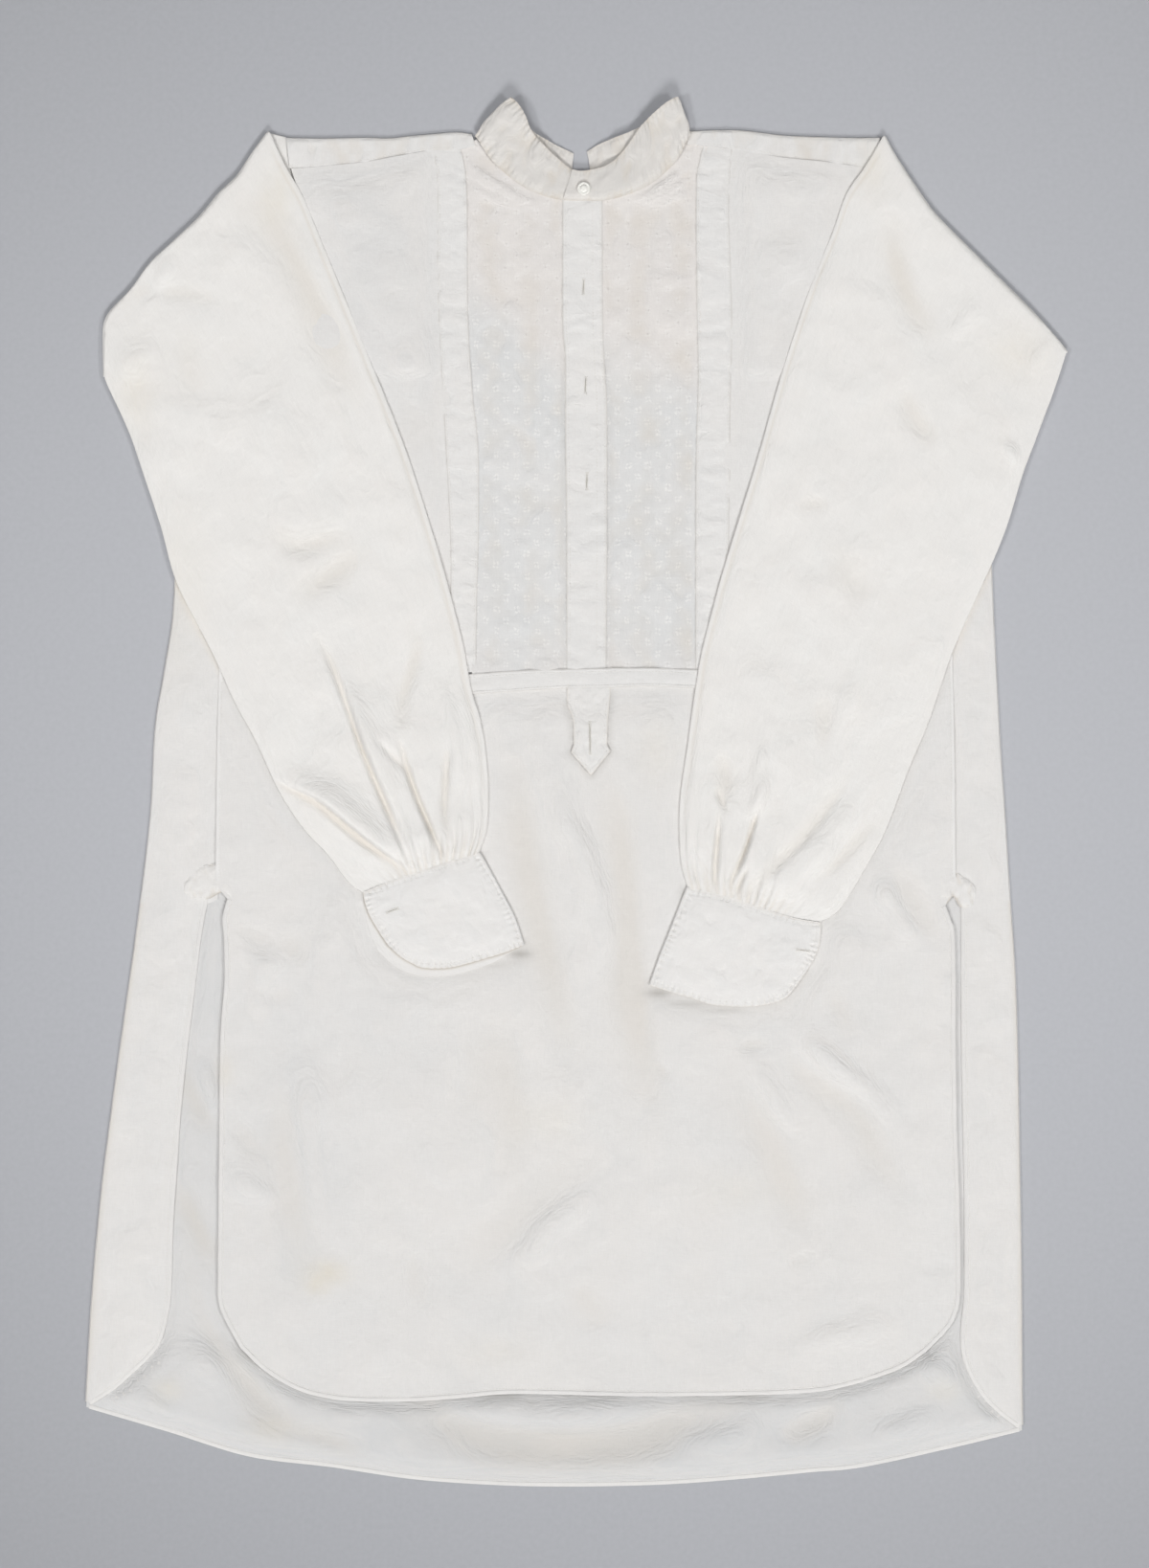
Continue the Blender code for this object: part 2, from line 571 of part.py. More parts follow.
def front():
    """The front panel, notched for the bosom, with side vents and a rounded tail."""
    gap = SEAM / 2
    sides = []
    for inward, arm, seam_points, vent_points in (
            (1, ARMHOLE_LEFT, SIDE_SEAM_LEFT, VENT_FRONT_LEFT),
            (-1, ARMHOLE_RIGHT, SIDE_SEAM_RIGHT, VENT_FRONT_RIGHT)):
        yoke_line = YOKE_SEAM_LEFT if inward == 1 else YOKE_SEAM_RIGHT
        start = yoke_line[0][1] if inward == 1 else yoke_line[-1][1]
        seam = Path(seam_points)
        upper = [(x + inward * CLOTH, y) for x, y in arm if seam_points[0][1] + 2 < y < start - 2]
        waist_y = WAIST_FOOT[0][1] if inward == 1 else WAIST_FOOT[-1][1]
        first = (Path(arm).across(start) + inward * CLOTH, start - gap)
        side = [(seam.across(y) + inward * gap, y) for y in spread(12, 300, waist_y)]
        below = [(seam.across(y) + inward * gap, y) for y in spread(5, waist_y, VENT_TOP + 9)]
        vent = Path(vent_points)
        below += [vent.at(t) for t in VENT_ROWS]
        depth = below[0][1] - below[-1][1]
        vs = [(below[0][1] - y) / depth for _, y in below]
        sides.append((Path([first] + upper + side, 1), Table(vs, below)))
    waist = moved(WAIST_FOOT, dy=-gap)
    notch = (
        Path(moved(BAND_OUTER_LEFT[:-1], dx=-SEAM - 0.1) + [(waist[0][0] - gap, waist[0][1])]),
        Path(moved(BAND_OUTER_RIGHT[:-1], dx=SEAM + 0.1) + [(waist[-1][0] + gap, waist[-1][1])]),
    )
    shoulder_left = Path(moved(YOKE_SEAM_LEFT, dy=-SEAM))
    shoulder_right = Path(moved(YOKE_SEAM_RIGHT, dy=-SEAM))
    tops = []
    for line, (low, high) in ((shoulder_left, (sides[0][0].at(0)[0], notch[0].at(0)[0])),
                              (shoulder_right, (notch[1].at(0)[0], sides[1][0].at(0)[0]))):
        xs = spread(6, low, high)
        tops.append(Path([(x, line.across(x, 0, 1)) for x in xs]))
    notch = (Path([tops[0].at(1)] + notch[0].line[6:], 1), Path([tops[1].at(0)] + notch[1].line[6:], 1))
    down = spread(9)
    parts = (
        (Path([sides[0][0].at(1), notch[0].at(1)]), 5),
        (Path(waist), 7),
        (Path([notch[1].at(1), sides[1][0].at(1)]), 5),
    )
    left = patch(tops[0], parts[0][0], sides[0][0], notch[0], spread(5), down)
    right = patch(tops[1], parts[2][0], notch[1], sides[1][0], spread(5), down)
    rows = []
    for a, b in zip(left[:-1], right[:-1]):
        rows.append(a + [a[-1]] * 5 + b)
    line = []
    for path, count in parts:
        line += [path.at(t) for t in spread(count)][(1 if line else 0):]
    width = line[-1][0] - line[0][0]
    us = [(x - line[0][0]) / width for x, _ in line]
    top = Table(us, line)
    rows += patch(top, Path(FRONT_HEM), sides[0][1], Table(vs, sides[1][1].points), us, vs)
    upper = len(left) - 1

    def keep(r, c):
        return r >= upper or not 4 <= c < 10

    return sheet("front", level(rows, FRONT_Z), WHITE, keep=keep)


def strip_between(name, left, right, colour, height, thickness, rows, columns=3):
    """A straight-grained band between two long edges."""
    points = []
    for v in spread(rows):
        a, b = left.at(v), right.at(v)
        points.append([(a[0] + (b[0] - a[0]) * u, a[1] + (b[1] - a[1]) * u) for u in spread(columns)])
    return sheet(name, level(points, height), colour, thickness)


def bands():
    """The bands beside the bosom, the placket, the waist band and the pointed tab."""
    gap = SEAM / 2
    for name, outer, inner, inward in (("band_left", BAND_OUTER_LEFT, BAND_INNER_LEFT, 1),
                                       ("band_right", BAND_OUTER_RIGHT, BAND_INNER_RIGHT, -1)):
        out = [(outer[0][0] + inward * gap, outer[0][1] - SEAM)] + moved(outer[1:-1], dx=inward * gap)
        end_out = (outer[-1][0] + inward * gap, WAIST_TOP[0 if inward == 1 else -1][1] + SEAM)
        inn = [(inner[0][0] - inward * gap, inner[0][1] - SEAM)] + moved(inner[1:-1], dx=-inward * gap)
        end_in = (inner[-1][0] - inward * gap, Path(WAIST_TOP).across(inner[-1][0], 0, 1) + SEAM)
        edges = [Path(out + [end_out]), Path(inn + [end_in])]
        if inward == -1:
            edges.reverse()
        strip_between(name, *edges, WHITE, BAND_Z, BAND_CLOTH, 10)
    waist_top = Path(WAIST_TOP)
    edges = []
    for edge, inward in ((PLACKET_LEFT, 1), (PLACKET_RIGHT, -1)):
        end_x = edge[-1][0]
        end = (end_x + inward * gap, waist_top.across(end_x, 0, 1) + SEAM)
        edges.append(Path(moved(edge[:-1], dx=inward * gap) + [end]))
    strip_between("placket", *edges, WHITE, BAND_Z, BAND_CLOTH, 10)
    edge_top = Path(moved(WAIST_TOP, dy=-gap))
    edge_foot = Path(moved(WAIST_FOOT, dy=gap))
    rows = [[path.at(0.002 + 0.996 * u) for u in spread(11)] for path in (edge_top, edge_foot)]
    rows.insert(1, [((a[0] + b[0]) / 2, (a[1] + b[1]) / 2) for a, b in zip(*rows)])
    sheet("waist_band", level(rows, BAND_Z), WHITE, BAND_CLOTH)
    cut_out("tab", TAB, ON_FRONT_Z, WHITE)


def bosom():
    """The two panels of thin voile beside the placket."""
    gap = SEAM / 2
    waist = Path(WAIST_TOP)
    for name, neck, outer, inner, inward in (
            ("bosom_left", NECK_SEAM_LEFT, BAND_INNER_LEFT, PLACKET_LEFT, 1),
            ("bosom_right", NECK_SEAM_RIGHT, BAND_INNER_RIGHT, PLACKET_RIGHT, -1)):
        neck_line = moved(neck, dy=-NECK_EASE)
        if inward == -1:
            neck_line = neck_line[::-1]
        neck_line[0] = (outer[0][0] + inward * 0.3, outer[0][1] - 1.0)
        neck_line[-1] = (inner[0][0] - inward * gap, inner[0][1])
        ends = (outer[-1][0] + inward * gap, inner[-1][0] - inward * gap)
        foot = [(x, waist.across(x, 0, 1) + SEAM) for x in spread(5, *ends)]
        out = Path([neck_line[0]] + moved(outer[1:-1], dx=inward * gap) + [foot[0]])
        inn = Path([neck_line[-1]] + moved(inner[1:-1], dx=-inward * gap) + [foot[-1]])
        rows = patch(Path(neck_line), Path(foot), out, inn, spread(9), spread(10))
        if inward == -1:
            rows = [row[::-1] for row in rows]
        sheet(name, level(rows, FRONT_Z), VOILE)


def neckband(name, stations):
    """One half of the neckband, standing up and turned back at the side of the neck."""
    feet = Path([s[:3] for s in stations])
    tops = Path([s[3:] for s in stations])
    rows = []
    for t in spread(33):
        a, b = feet.at(t), tops.at(t)
        rows.append([tuple(p + (q - p) * u for p, q in zip(a, b)) for u in spread(4)])
    return sheet(name, rows, WHITE, even=False)


def collar_button():
    """A small domed pearl button, turned from its profile."""
    mesh = bpy.data.meshes.new("collar_button")
    bm = bmesh.new()
    rim = [bm.verts.new((r * MM, 0.0, z * MM)) for r, z in BUTTON_PROFILE]
    edges = [bm.edges.new(pair) for pair in zip(rim, rim[1:])]
    bmesh.ops.spin(
        bm, geom=rim + edges, cent=(0, 0, 0), axis=(0, 0, 1), angle=math.tau, steps=BUTTON_STEPS,
        use_merge=True, use_duplicate=False)
    bmesh.ops.remove_doubles(bm, verts=bm.verts, dist=0.01 * MM)
    bmesh.ops.recalc_face_normals(bm, faces=bm.faces)
    bm.to_mesh(mesh)
    bm.free()
    mesh.shade_smooth()
    mesh.set_sharp_from_angle(angle=math.radians(40))
    made = new_object("collar_button", mesh, PEARL, 0.3)
    made.location = Vector(BUTTON_PLACE) * MM
    return made


def ridge(x, y, folds):
    """Height that the main folds add to the cloth at a point."""
    total = 0.0
    for x0, y0, x1, y1, width, height in folds:
        dx, dy = x1 - x0, y1 - y0
        size = math.hypot(dx, dy)
        along = ((x - x0) * dx + (y - y0) * dy) / size ** 2
        side = ((x - x0) * dy - (y - y0) * dx) / size
        fade = smooth(min(along, 1.15 - along) / 0.3 + 0.2)
        total += height * fade * math.exp(-(side / width) ** 2)
    return total


def sleeve(name, side):
    """A full sleeve: its head lies beside the shirt, turns over at the fold and runs to the cuff."""
    left = side == "left"
    arm = ARMHOLE_LEFT if left else ARMHOLE_RIGHT
    fold = FOLD_LEFT if left else FOLD_RIGHT
    inner = SLEEVE_INNER_LEFT if left else SLEEVE_INNER_RIGHT
    outer = SLEEVE_OUTER_LEFT if left else SLEEVE_OUTER_RIGHT
    cuff = CUFF_SEAM_LEFT if left else CUFF_SEAM_RIGHT
    folds = SLEEVE_FOLDS_LEFT if left else SLEEVE_FOLDS_RIGHT
    outward = -1 if left else 1
    rolled = TURN_OUTER + CLOTH / 2
    turned = 1 if left else -1
    turn_line = Path(inset(fold, turned * rolled))
    fold_line = Path(fold)
    arm_line = Path([(x + outward * ARMHOLE_EASE, y) for x, y in arm])
    body_edge = SIDE_FOLD_LEFT[0][0] if left else SIDE_FOLD_RIGHT[0][0]

    def away(t):
        (ax, ay), (bx, by) = fold_line.at(t), turn_line.at(t)
        size = math.hypot(bx - ax, by - ay)
        return (ax - bx) / size, (ay - by) / size

    upper_s = spread(20)

    def ring(plan, top_z, low_z):
        """One closed section: plan(s) is its place, top_z and low_z the middles of its walls."""
        points = [(*plan(s), top_z(s)) for s in upper_s]
        points.append((*beyond(plan, 1.0, SLEEVE_TIP), (top_z(1.0) + low_z(1.0)) / 2))
        points += [(*plan(s), low_z(s)) for s in reversed(SLEEVE_LOWER_COLUMNS)]
        points.append((*beyond(plan, 0.0, SLEEVE_TIP), (top_z(0.0) + low_z(0.0)) / 2))
        return points

    def beyond(plan, s, distance):
        a = plan(s)
        b = plan(abs(s - 0.05))
        size = math.hypot(a[0] - b[0], a[1] - b[1])
        return tuple(p + (p - q) / size * distance for p, q in zip(a, b))

    rings = []
    head_in = Path([arm_line.at(0), turn_line.at(0)])
    head_out = Path([arm_line.at(1), turn_line.at(1)])
    for v in (0.0, 0.5, 1.0):
        row = Row(arm_line, turn_line, head_in, head_out, v)
        rings.append(ring(row.at, lambda s: HEAD_OUTER_Z, lambda s: HEAD_INNER_Z))
    for step in (1, 2, 3):
        angle = -math.pi / 2 + math.pi * step / 4
        flat, up = math.cos(angle), math.sin(angle)

        def at(s, radius):
            x, y = turn_line.at(s)
            nx, ny = away(s)
            return (x + nx * flat * radius, y + ny * flat * radius)

        def wall(s, radius):
            return (*at(s, radius), SLEEVE_TURN_Z + up * radius)

        middle = (TURN_OUTER + TURN_INNER) / 2
        points = [wall(s, TURN_OUTER) for s in upper_s]
        x, y = beyond(lambda s: at(s, middle), 1.0, SLEEVE_TIP)
        points.append((x, y, SLEEVE_TURN_Z + up * middle))
        points += [wall(s, TURN_INNER) for s in reversed(SLEEVE_LOWER_COLUMNS)]
        x, y = beyond(lambda s: at(s, middle), 0.0, SLEEVE_TIP)
        points.append((x, y, SLEEVE_TURN_Z + up * middle))
        rings.append(points)
    side_in = Path([turn_line.at(0)] + inset(inner, -turned * EDGE)[1:])
    side_out = Path([turn_line.at(1)] + inset(outer, turned * EDGE)[1:])
    end = Path(inset(cuff, -turned * CUFF_EASE))
    low_line = Path([arm_line.at(1), turn_line.at(1)])

    def drop(x, y):
        """How far the underside sinks past the side of the shirt, clear of the sleeve's head."""
        past = (x - body_edge) * outward
        below = low_line.across(x, 0, 1) - y
        near = min(past, below)
        return DROP * smooth((near - DROP_START) / (DROP_END - DROP_START))

    length = side_in.length[-1]
    for v in SLEEVE_ROWS:
        row = Row(turn_line, end, side_in, side_out, v)
        near_cuff = 1 - (1 - v) * length / GATHER_LENGTH
        gathered = smooth(near_cuff)
        loft = SLEEVE_LOFT * smooth(v / 0.3) + CUFF_LOFT * smooth((v - 0.6) / 0.35)

        def top_z(s):
            x, y = row.at(s)
            rise = loft * math.sin(math.pi * min(max(s, 0), 1)) ** 0.6 if 0 < s < 1 else 0.0
            edge = smooth(min(s, 1 - s) / 0.12)
            wave = GATHER_HEIGHT * gathered * (1 - math.cos(math.tau * GATHER_COUNT * s)) / 2
            crease = ridge(x, y, folds)
            return SLEEVE_TURN_Z + TURN_OUTER + max(rise + edge * (wave + crease), 0.0)

        def low_z(s):
            return SLEEVE_TURN_Z + TURN_INNER - drop(*row.at(s))

        rings.append(ring(row.at, top_z, low_z))
    if not left:
        rings = [points[::-1] for points in rings]
    return sheet(name, rings, CREAM, closed=True)


def cuff(name, side):
    """A single cuff folded in two, with rounded corners at its open end."""
    left = side == "left"
    seam = CUFF_SEAM_LEFT if left else CUFF_SEAM_RIGHT
    fold = CUFF_FOLD_LEFT if left else CUFF_FOLD_RIGHT
    free = CUFF_FREE_LEFT if left else CUFF_FREE_RIGHT
    edge = CUFF_EDGE_LEFT if left else CUFF_EDGE_RIGHT
    under_free = CUFF_UNDER_FREE_LEFT if left else CUFF_FREE_RIGHT
    under_edge = CUFF_UNDER_EDGE_LEFT if left else CUFF_EDGE_RIGHT
    radius = (CUFF_TOP_Z - CUFF_UNDER_Z) / 2
    shift = radius + CLOTH / 2
    away = 1 if left else -1
    line = Path(inset(seam, CUFF_EASE if left else -CUFF_EASE))
    back_x, back_y = (shift * way for way in CUFF_FOLD_WAY)
    fold_line = Path([line.at(0)] + [(x - away * back_x, y - back_y) for x, y in fold[1:]])
    layers = []
    for free_line, edge_line in ((free, edge), (under_free, under_edge)):
        low = Path([fold_line.at(1)] + list(edge_line[1:]))
        side_line = Path([line.at(1)] + list(free_line[1:]))
        layers.append(patch(line, low, fold_line, side_line, CUFF_COLUMNS, CUFF_ROWS))
    rows = []
    for top, under in zip(*layers):
        row = [(x, y, CUFF_TOP_Z) for x, y in top]
        x, y = top[-1]
        ux, uy = CUFF_FOLD_WAY[0] * away, CUFF_FOLD_WAY[1]
        for out, up in reversed(turn(4)[1:-1]):
            row.append((x + ux * radius * out, y + uy * radius * out, CUFF_UNDER_Z + radius * (1 + up)))
        row += [(x, y, CUFF_UNDER_Z) for x, y in reversed(under)]
        rows.append(row if left else row[::-1])
    return sheet(name, rows, WHITE)


def main():
    for old in list(bpy.data.objects):
        bpy.data.objects.remove(old)
    collection = bpy.data.collections.new("tunic_shirt")
    bpy.context.scene.collection.children.link(collection)
    back()
    yoke()
    front()
    bosom()
    bands()
    cut_out("gusset_left", GUSSET_LEFT, ON_FRONT_Z, WHITE)
    cut_out("gusset_right", GUSSET_RIGHT, ON_FRONT_Z, WHITE)
    neckband("collar_left", COLLAR_LEFT)
    neckband("collar_right", COLLAR_RIGHT)
    collar_button()
    sleeve("sleeve_left", "left")
    sleeve("sleeve_right", "right")
    cuff("cuff_left", "left")
    cuff("cuff_right", "right")


main()
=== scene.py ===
"""A white cotton tunic shirt laid flat: the looks of every piece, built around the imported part.

Sizes are in millimetres and become metres when a mesh is made. X runs across the shirt, Y from
the hem to the collar, Z up. Left and right are as the camera sees them, from straight above.
"""
import json
import math

import bpy
import numpy as np
from bpy.props import FloatProperty, FloatVectorProperty, PointerProperty
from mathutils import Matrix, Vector, noise
from mathutils.bvhtree import BVHTree
from mathutils.geometry import delaunay_2d_cdt

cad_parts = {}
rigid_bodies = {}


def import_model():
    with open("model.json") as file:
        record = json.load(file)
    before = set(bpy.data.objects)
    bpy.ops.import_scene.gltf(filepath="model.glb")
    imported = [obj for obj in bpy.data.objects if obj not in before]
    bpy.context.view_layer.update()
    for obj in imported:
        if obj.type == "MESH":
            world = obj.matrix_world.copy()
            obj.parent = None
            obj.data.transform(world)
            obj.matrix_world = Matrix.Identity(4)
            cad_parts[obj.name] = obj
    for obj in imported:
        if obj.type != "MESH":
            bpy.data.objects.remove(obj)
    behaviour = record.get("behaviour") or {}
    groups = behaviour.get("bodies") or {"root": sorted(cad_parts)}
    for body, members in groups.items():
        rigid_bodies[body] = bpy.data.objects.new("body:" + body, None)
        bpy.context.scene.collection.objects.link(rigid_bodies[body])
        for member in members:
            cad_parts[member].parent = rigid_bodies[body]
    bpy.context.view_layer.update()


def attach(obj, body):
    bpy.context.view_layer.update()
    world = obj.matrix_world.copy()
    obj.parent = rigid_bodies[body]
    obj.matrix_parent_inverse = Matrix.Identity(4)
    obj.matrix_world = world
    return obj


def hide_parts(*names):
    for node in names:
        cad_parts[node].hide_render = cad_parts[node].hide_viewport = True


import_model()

bl_info = {
    "name": "Tunic Shirt",
    "version": (1, 0, 0),
    "blender": (4, 5, 0),
    "location": "3D View > Sidebar > Tunic",
    "description": "Builds the cloth, sewing and stage of a tunic shirt laid flat",
    "category": "Add Mesh",
}

MM = 0.001

# Heights of the middle of each layer above the table
BACK_Z = 0.4
FRONT_Z = 1.9
BAND_Z = 2.1
ON_FRONT_Z = 2.9
SIDE_TURN = (FRONT_Z - BACK_Z) / 2
HEAD_OUTER_Z = 0.55
HEAD_INNER_Z = 1.85
SLEEVE_TURN_Z = 2.65
TURN_OUTER = SLEEVE_TURN_Z - HEAD_OUTER_Z
TURN_INNER = SLEEVE_TURN_Z - HEAD_INNER_Z
CUFF_UNDER_Z = 3.3
CUFF_TOP_Z = 4.8
BUTTON_PLACE = (5.5, 453.5, 5.2)
CAMERA_X, CAMERA_Y = -1.44, 6.48

# Thickness of the bosom's thin voile and of the neckband, and the height that a seam sinks in
VOILE_THICK = 0.45
NECKBAND_THICK = 0.9
HEM_SUNK = 0.2

# Height up the shirt at which the side seams end and the vents begin
VENT_TOP = -80

# Outlines, each a list of (x, y) from the collar end down or from left to right
SIDE_FOLD_LEFT = [
    (-302.5, 272), (-302.5, 150), (-310, 92), (-317, 49), (-320.5, -16), (-329, -88), (-339, -160),
    (-349, -232), (-358, -304), (-364.5, -376), (-368, -433), (-369.5, -462),
]
SIDE_FOLD_RIGHT = [
    (311, 272), (312.5, 171), (316, 92), (319, 35), (322.5, -16), (326, -73), (330, -131), (332, -189),
    (333.5, -268), (335, -361), (335.5, -433), (336, -479.5),
]
BACK_HEM = [
    (-369.5, -462), (-305, -481), (-246, -499), (-184, -507), (-123, -516), (-59, -520.5), (0, -521.5),
    (66, -520), (122, -516), (174, -511), (215, -507), (280, -493), (336, -479.5),
]
VENT_BACK_LEFT = [
    (-277, -80), (-282, -108), (-287.5, -153), (-293, -197), (-297.5, -241), (-300, -279), (-303, -323),
    (-304.5, -373), (-307.5, -396), (-313, -414), (-322, -425.5), (-334, -437), (-348.5, -449.5),
    (-367.5, -461.5),
]
VENT_BACK_RIGHT = [
    (289, -86), (289, -124), (289.5, -197), (290.5, -253), (291.5, -314), (291.5, -373), (289, -401),
    (289.5, -420), (295, -437), (306, -455), (321, -469.5), (334.5, -479),
]
SIDE_SEAM_LEFT = [(-262, 310), (-265, 164), (-268, 43), (-269.5, -80)]
SIDE_SEAM_RIGHT = [(276, 310), (279.5, 164), (282, 43), (283.5, -86)]
ARMHOLE_LEFT = [
    (-218, 492), (-215.5, 470), (-209, 447), (-206.5, 412), (-218, 366), (-244, 322), (-276, 290),
    (-302.5, 272),
]
ARMHOLE_RIGHT = [
    (229, 491), (222, 470), (217, 447), (216.5, 412), (228, 366), (254, 322), (286, 290), (311, 272),
]
VENT_FRONT_LEFT = [
    (-262, -80), (-265.5, -94), (-264.5, -109), (-264, -141), (-267, -182), (-268, -253), (-269, -358),
    (-268.5, -382), (-263.5, -396), (-252, -417),
]
VENT_FRONT_RIGHT = [
    (277, -85), (281, -96), (284, -112), (284.5, -197), (285.5, -253), (287.5, -314), (288, -373),
    (284.5, -393), (277, -405), (262, -420),
]
FRONT_HEM = [
    (-252, -417), (-234, -434), (-208, -449), (-184, -455), (-161, -457), (-123, -457), (-88, -454.5),
    (-52.5, -451.5), (0, -452), (48, -453), (113, -452.5), (174, -450.5), (203.5, -445.5), (230, -437.5),
    (247.5, -430), (262, -420),
]
BACK_YOKE_SEAM = [(-206, 420.5), (0, 418), (216, 420.5)]
SHOULDER_LEFT = [
    (-218, 492.5), (-203, 492), (-185, 492), (-158, 492.5), (-141, 492), (-122, 494), (-91, 496.5),
    (-78.5, 495),
]
SHOULDER_RIGHT = [(83.5, 497.5), (122, 498), (158, 494), (202, 492.5), (228, 492.5)]
YOKE_SEAM_LEFT = [
    (-215.5, 469), (-203, 469.5), (-186, 471), (-158, 474), (-130, 479), (-108, 482.5), (-89, 483),
    (-76, 486),
]
YOKE_SEAM_RIGHT = [(83, 487), (95, 486), (117, 484), (152.5, 477.5), (186, 474), (214.5, 470), (222, 468.5)]
BACK_NECK = [
    (-77.5, 491), (-70, 482), (-60, 474), (-38, 464), (-16, 459), (4, 457), (27, 459), (49, 463.5),
    (68, 473), (77, 482), (82.5, 492),
]
NECK_SEAM_LEFT = [
    (-87.5, 483), (-75, 486), (-64.5, 474.5), (-50, 461.5), (-35, 453.5), (-23, 448), (-10.5, 445),
]
NECK_SEAM_RIGHT = [
    (19.5, 444.5), (33, 446.5), (46, 452), (61, 460), (74, 472), (83, 486), (96.5, 485.5),
]
BAND_OUTER_LEFT = [
    (-108, 482), (-104.5, 458.5), (-104.5, 403), (-103, 348.5), (-100, 293), (-97, 238), (-94.5, 183),
    (-94.5, 92),
]
BAND_INNER_LEFT = [
    (-87, 482.5), (-82.5, 453.5), (-81.5, 360), (-78, 299), (-75, 275), (-73.5, 248.5), (-73.5, 195),
    (-75, 141), (-75.5, 90),
]
BAND_INNER_RIGHT = [
    (96, 485.5), (92.5, 474.5), (90, 453.5), (90.5, 360), (91.5, 314.5), (90, 261.5), (89.5, 195),
    (89.5, 92),
]
BAND_OUTER_RIGHT = [
    (117, 482.5), (114.5, 442), (115.5, 403), (117, 348.5), (115.5, 293), (115.5, 238), (114.5, 193),
    (114, 92),
]
PLACKET_LEFT = [(-10.5, 444), (-10.5, 355), (-8.5, 328.5), (-8.5, 275), (-7.5, 195), (-7.5, 93)]
PLACKET_RIGHT = [(19.5, 444), (20, 355), (21.5, 314.5), (23, 288), (23, 195), (22.5, 93.5)]
WAIST_TOP = [(-94.5, 86.5), (-42, 90.5), (-7, 91.5), (46, 92.5), (90, 91), (114, 90)]
WAIST_FOOT = [(-94.5, 73), (-42, 76.5), (-7, 78.5), (24.5, 79), (55.5, 80), (90, 78.5), (114, 77.5)]
TAB = [
    (-7, 83), (-7, 66), (-2.5, 54), (-2, 36), (-4, 30), (11, 13), (25.5, 31), (23, 36), (23.5, 54),
    (25.5, 74), (25.5, 83),
]
GUSSET_LEFT = [
    (-296, -68), (-289, -60), (-279, -55), (-268, -53.5), (-253, -56), (-239, -60), (-250, -76),
    (-261, -88), (-262.5, -79), (-267, -75), (-277, -80), (-294, -79),
]
GUSSET_RIGHT = [
    (269.5, -84), (277, -84.5), (283, -78), (288.5, -86), (298, -84), (299, -71), (291, -64), (284, -60),
    (275, -61.5), (269, -66),
]
NOTCHES = {
    "left": [(-277, -80), (-267, -75), (-262.5, -79), (-261, -88)],
    "right": [(277, -84.5), (283, -78), (288.5, -86)],
}
FOLD_LEFT = [
    (-232.5, 496.5), (-244, 481), (-256, 463), (-268, 452), (-283, 434), (-302, 416), (-321, 398),
    (-334, 380), (-351, 362), (-355.5, 352), (-356, 335), (-355.5, 313),
]
FOLD_RIGHT = [
    (232.5, 493), (241, 477.5), (263, 444.5), (274.5, 430.5), (310, 395), (343, 362), (360, 343), (369, 332),
]
SLEEVE_INNER_LEFT = [
    (-232.5, 496.5), (-217.5, 469.5), (-204.5, 447), (-193.5, 420), (-157.5, 332), (-130, 263), (-112, 209),
    (-98.5, 164), (-85, 112), (-79, 79), (-72.5, 57), (-68.5, 35), (-66, 7), (-67, -26), (-73, -46),
]
SLEEVE_OUTER_LEFT = [
    (-355.5, 313), (-353.5, 308), (-337, 272), (-324.5, 236), (-312.5, 200), (-301, 159), (-283, 123),
    (-270.5, 98.5), (-257, 68.5), (-240.5, 38), (-224, 2), (-205, -27), (-186, -47.5), (-171.5, -67),
    (-160, -75.5),
]
SLEEVE_INNER_RIGHT = [
    (232.5, 493), (216, 469.5), (202.5, 450), (191.5, 420), (175, 379), (155.5, 320.5), (136, 252),
    (119.5, 198), (108.5, 162), (101, 134), (93.5, 104), (88, 70.5), (83, 35), (78, -1), (77, -26),
    (78.5, -53), (83.5, -72),
]
SLEEVE_OUTER_RIGHT = [
    (369, 332), (359.5, 304), (345.5, 266), (335, 238), (324, 202), (312.5, 173), (297.5, 140), (282, 104),
    (274.5, 82), (263, 49), (249, 16), (232.5, -28), (216, -58.5), (197.5, -88), (183, -97.5),
]
CUFF_SEAM_LEFT = [(-73, -46), (-95, -52), (-120, -60.5), (-140, -67.5), (-160, -75.5)]
CUFF_SEAM_RIGHT = [(83.5, -72), (112.5, -78.5), (142.5, -88.5), (165, -95), (183, -98)]
CUFF_FOLD_LEFT = [(-73, -46), (-58.5, -69), (-46, -93.5), (-39, -114)]
CUFF_FOLD_RIGHT = [(83.5, -72), (72, -98), (62, -123), (54.5, -144)]
CUFF_FREE_LEFT = [(-160, -75.5), (-158.5, -83), (-155, -92.5), (-149, -103), (-141.5, -114.5)]
CUFF_FREE_RIGHT = [(183, -98), (183, -108), (180, -121.5), (172, -135.5)]
CUFF_EDGE_LEFT = [
    (-39, -114), (-54, -120), (-65.5, -123.5), (-83, -128.5), (-97, -131.5), (-114.5, -131.5),
    (-122.5, -128.5), (-132, -123), (-141.5, -114.5),
]
CUFF_EDGE_RIGHT = [
    (54.5, -144), (72, -150), (85, -153.5), (102, -159), (127.5, -160.5), (142.5, -159), (155, -155),
    (162.5, -148.5), (172, -135.5),
]
CUFF_UNDER_FREE_LEFT = [(-160, -75.5), (-159.5, -86), (-155, -105), (-148.5, -119.5)]
CUFF_UNDER_EDGE_LEFT = [
    (-39, -114), (-60.5, -126.5), (-75, -132), (-91.5, -136.5), (-107, -138), (-122.5, -136.5),
    (-135.5, -131), (-148.5, -119.5),
]

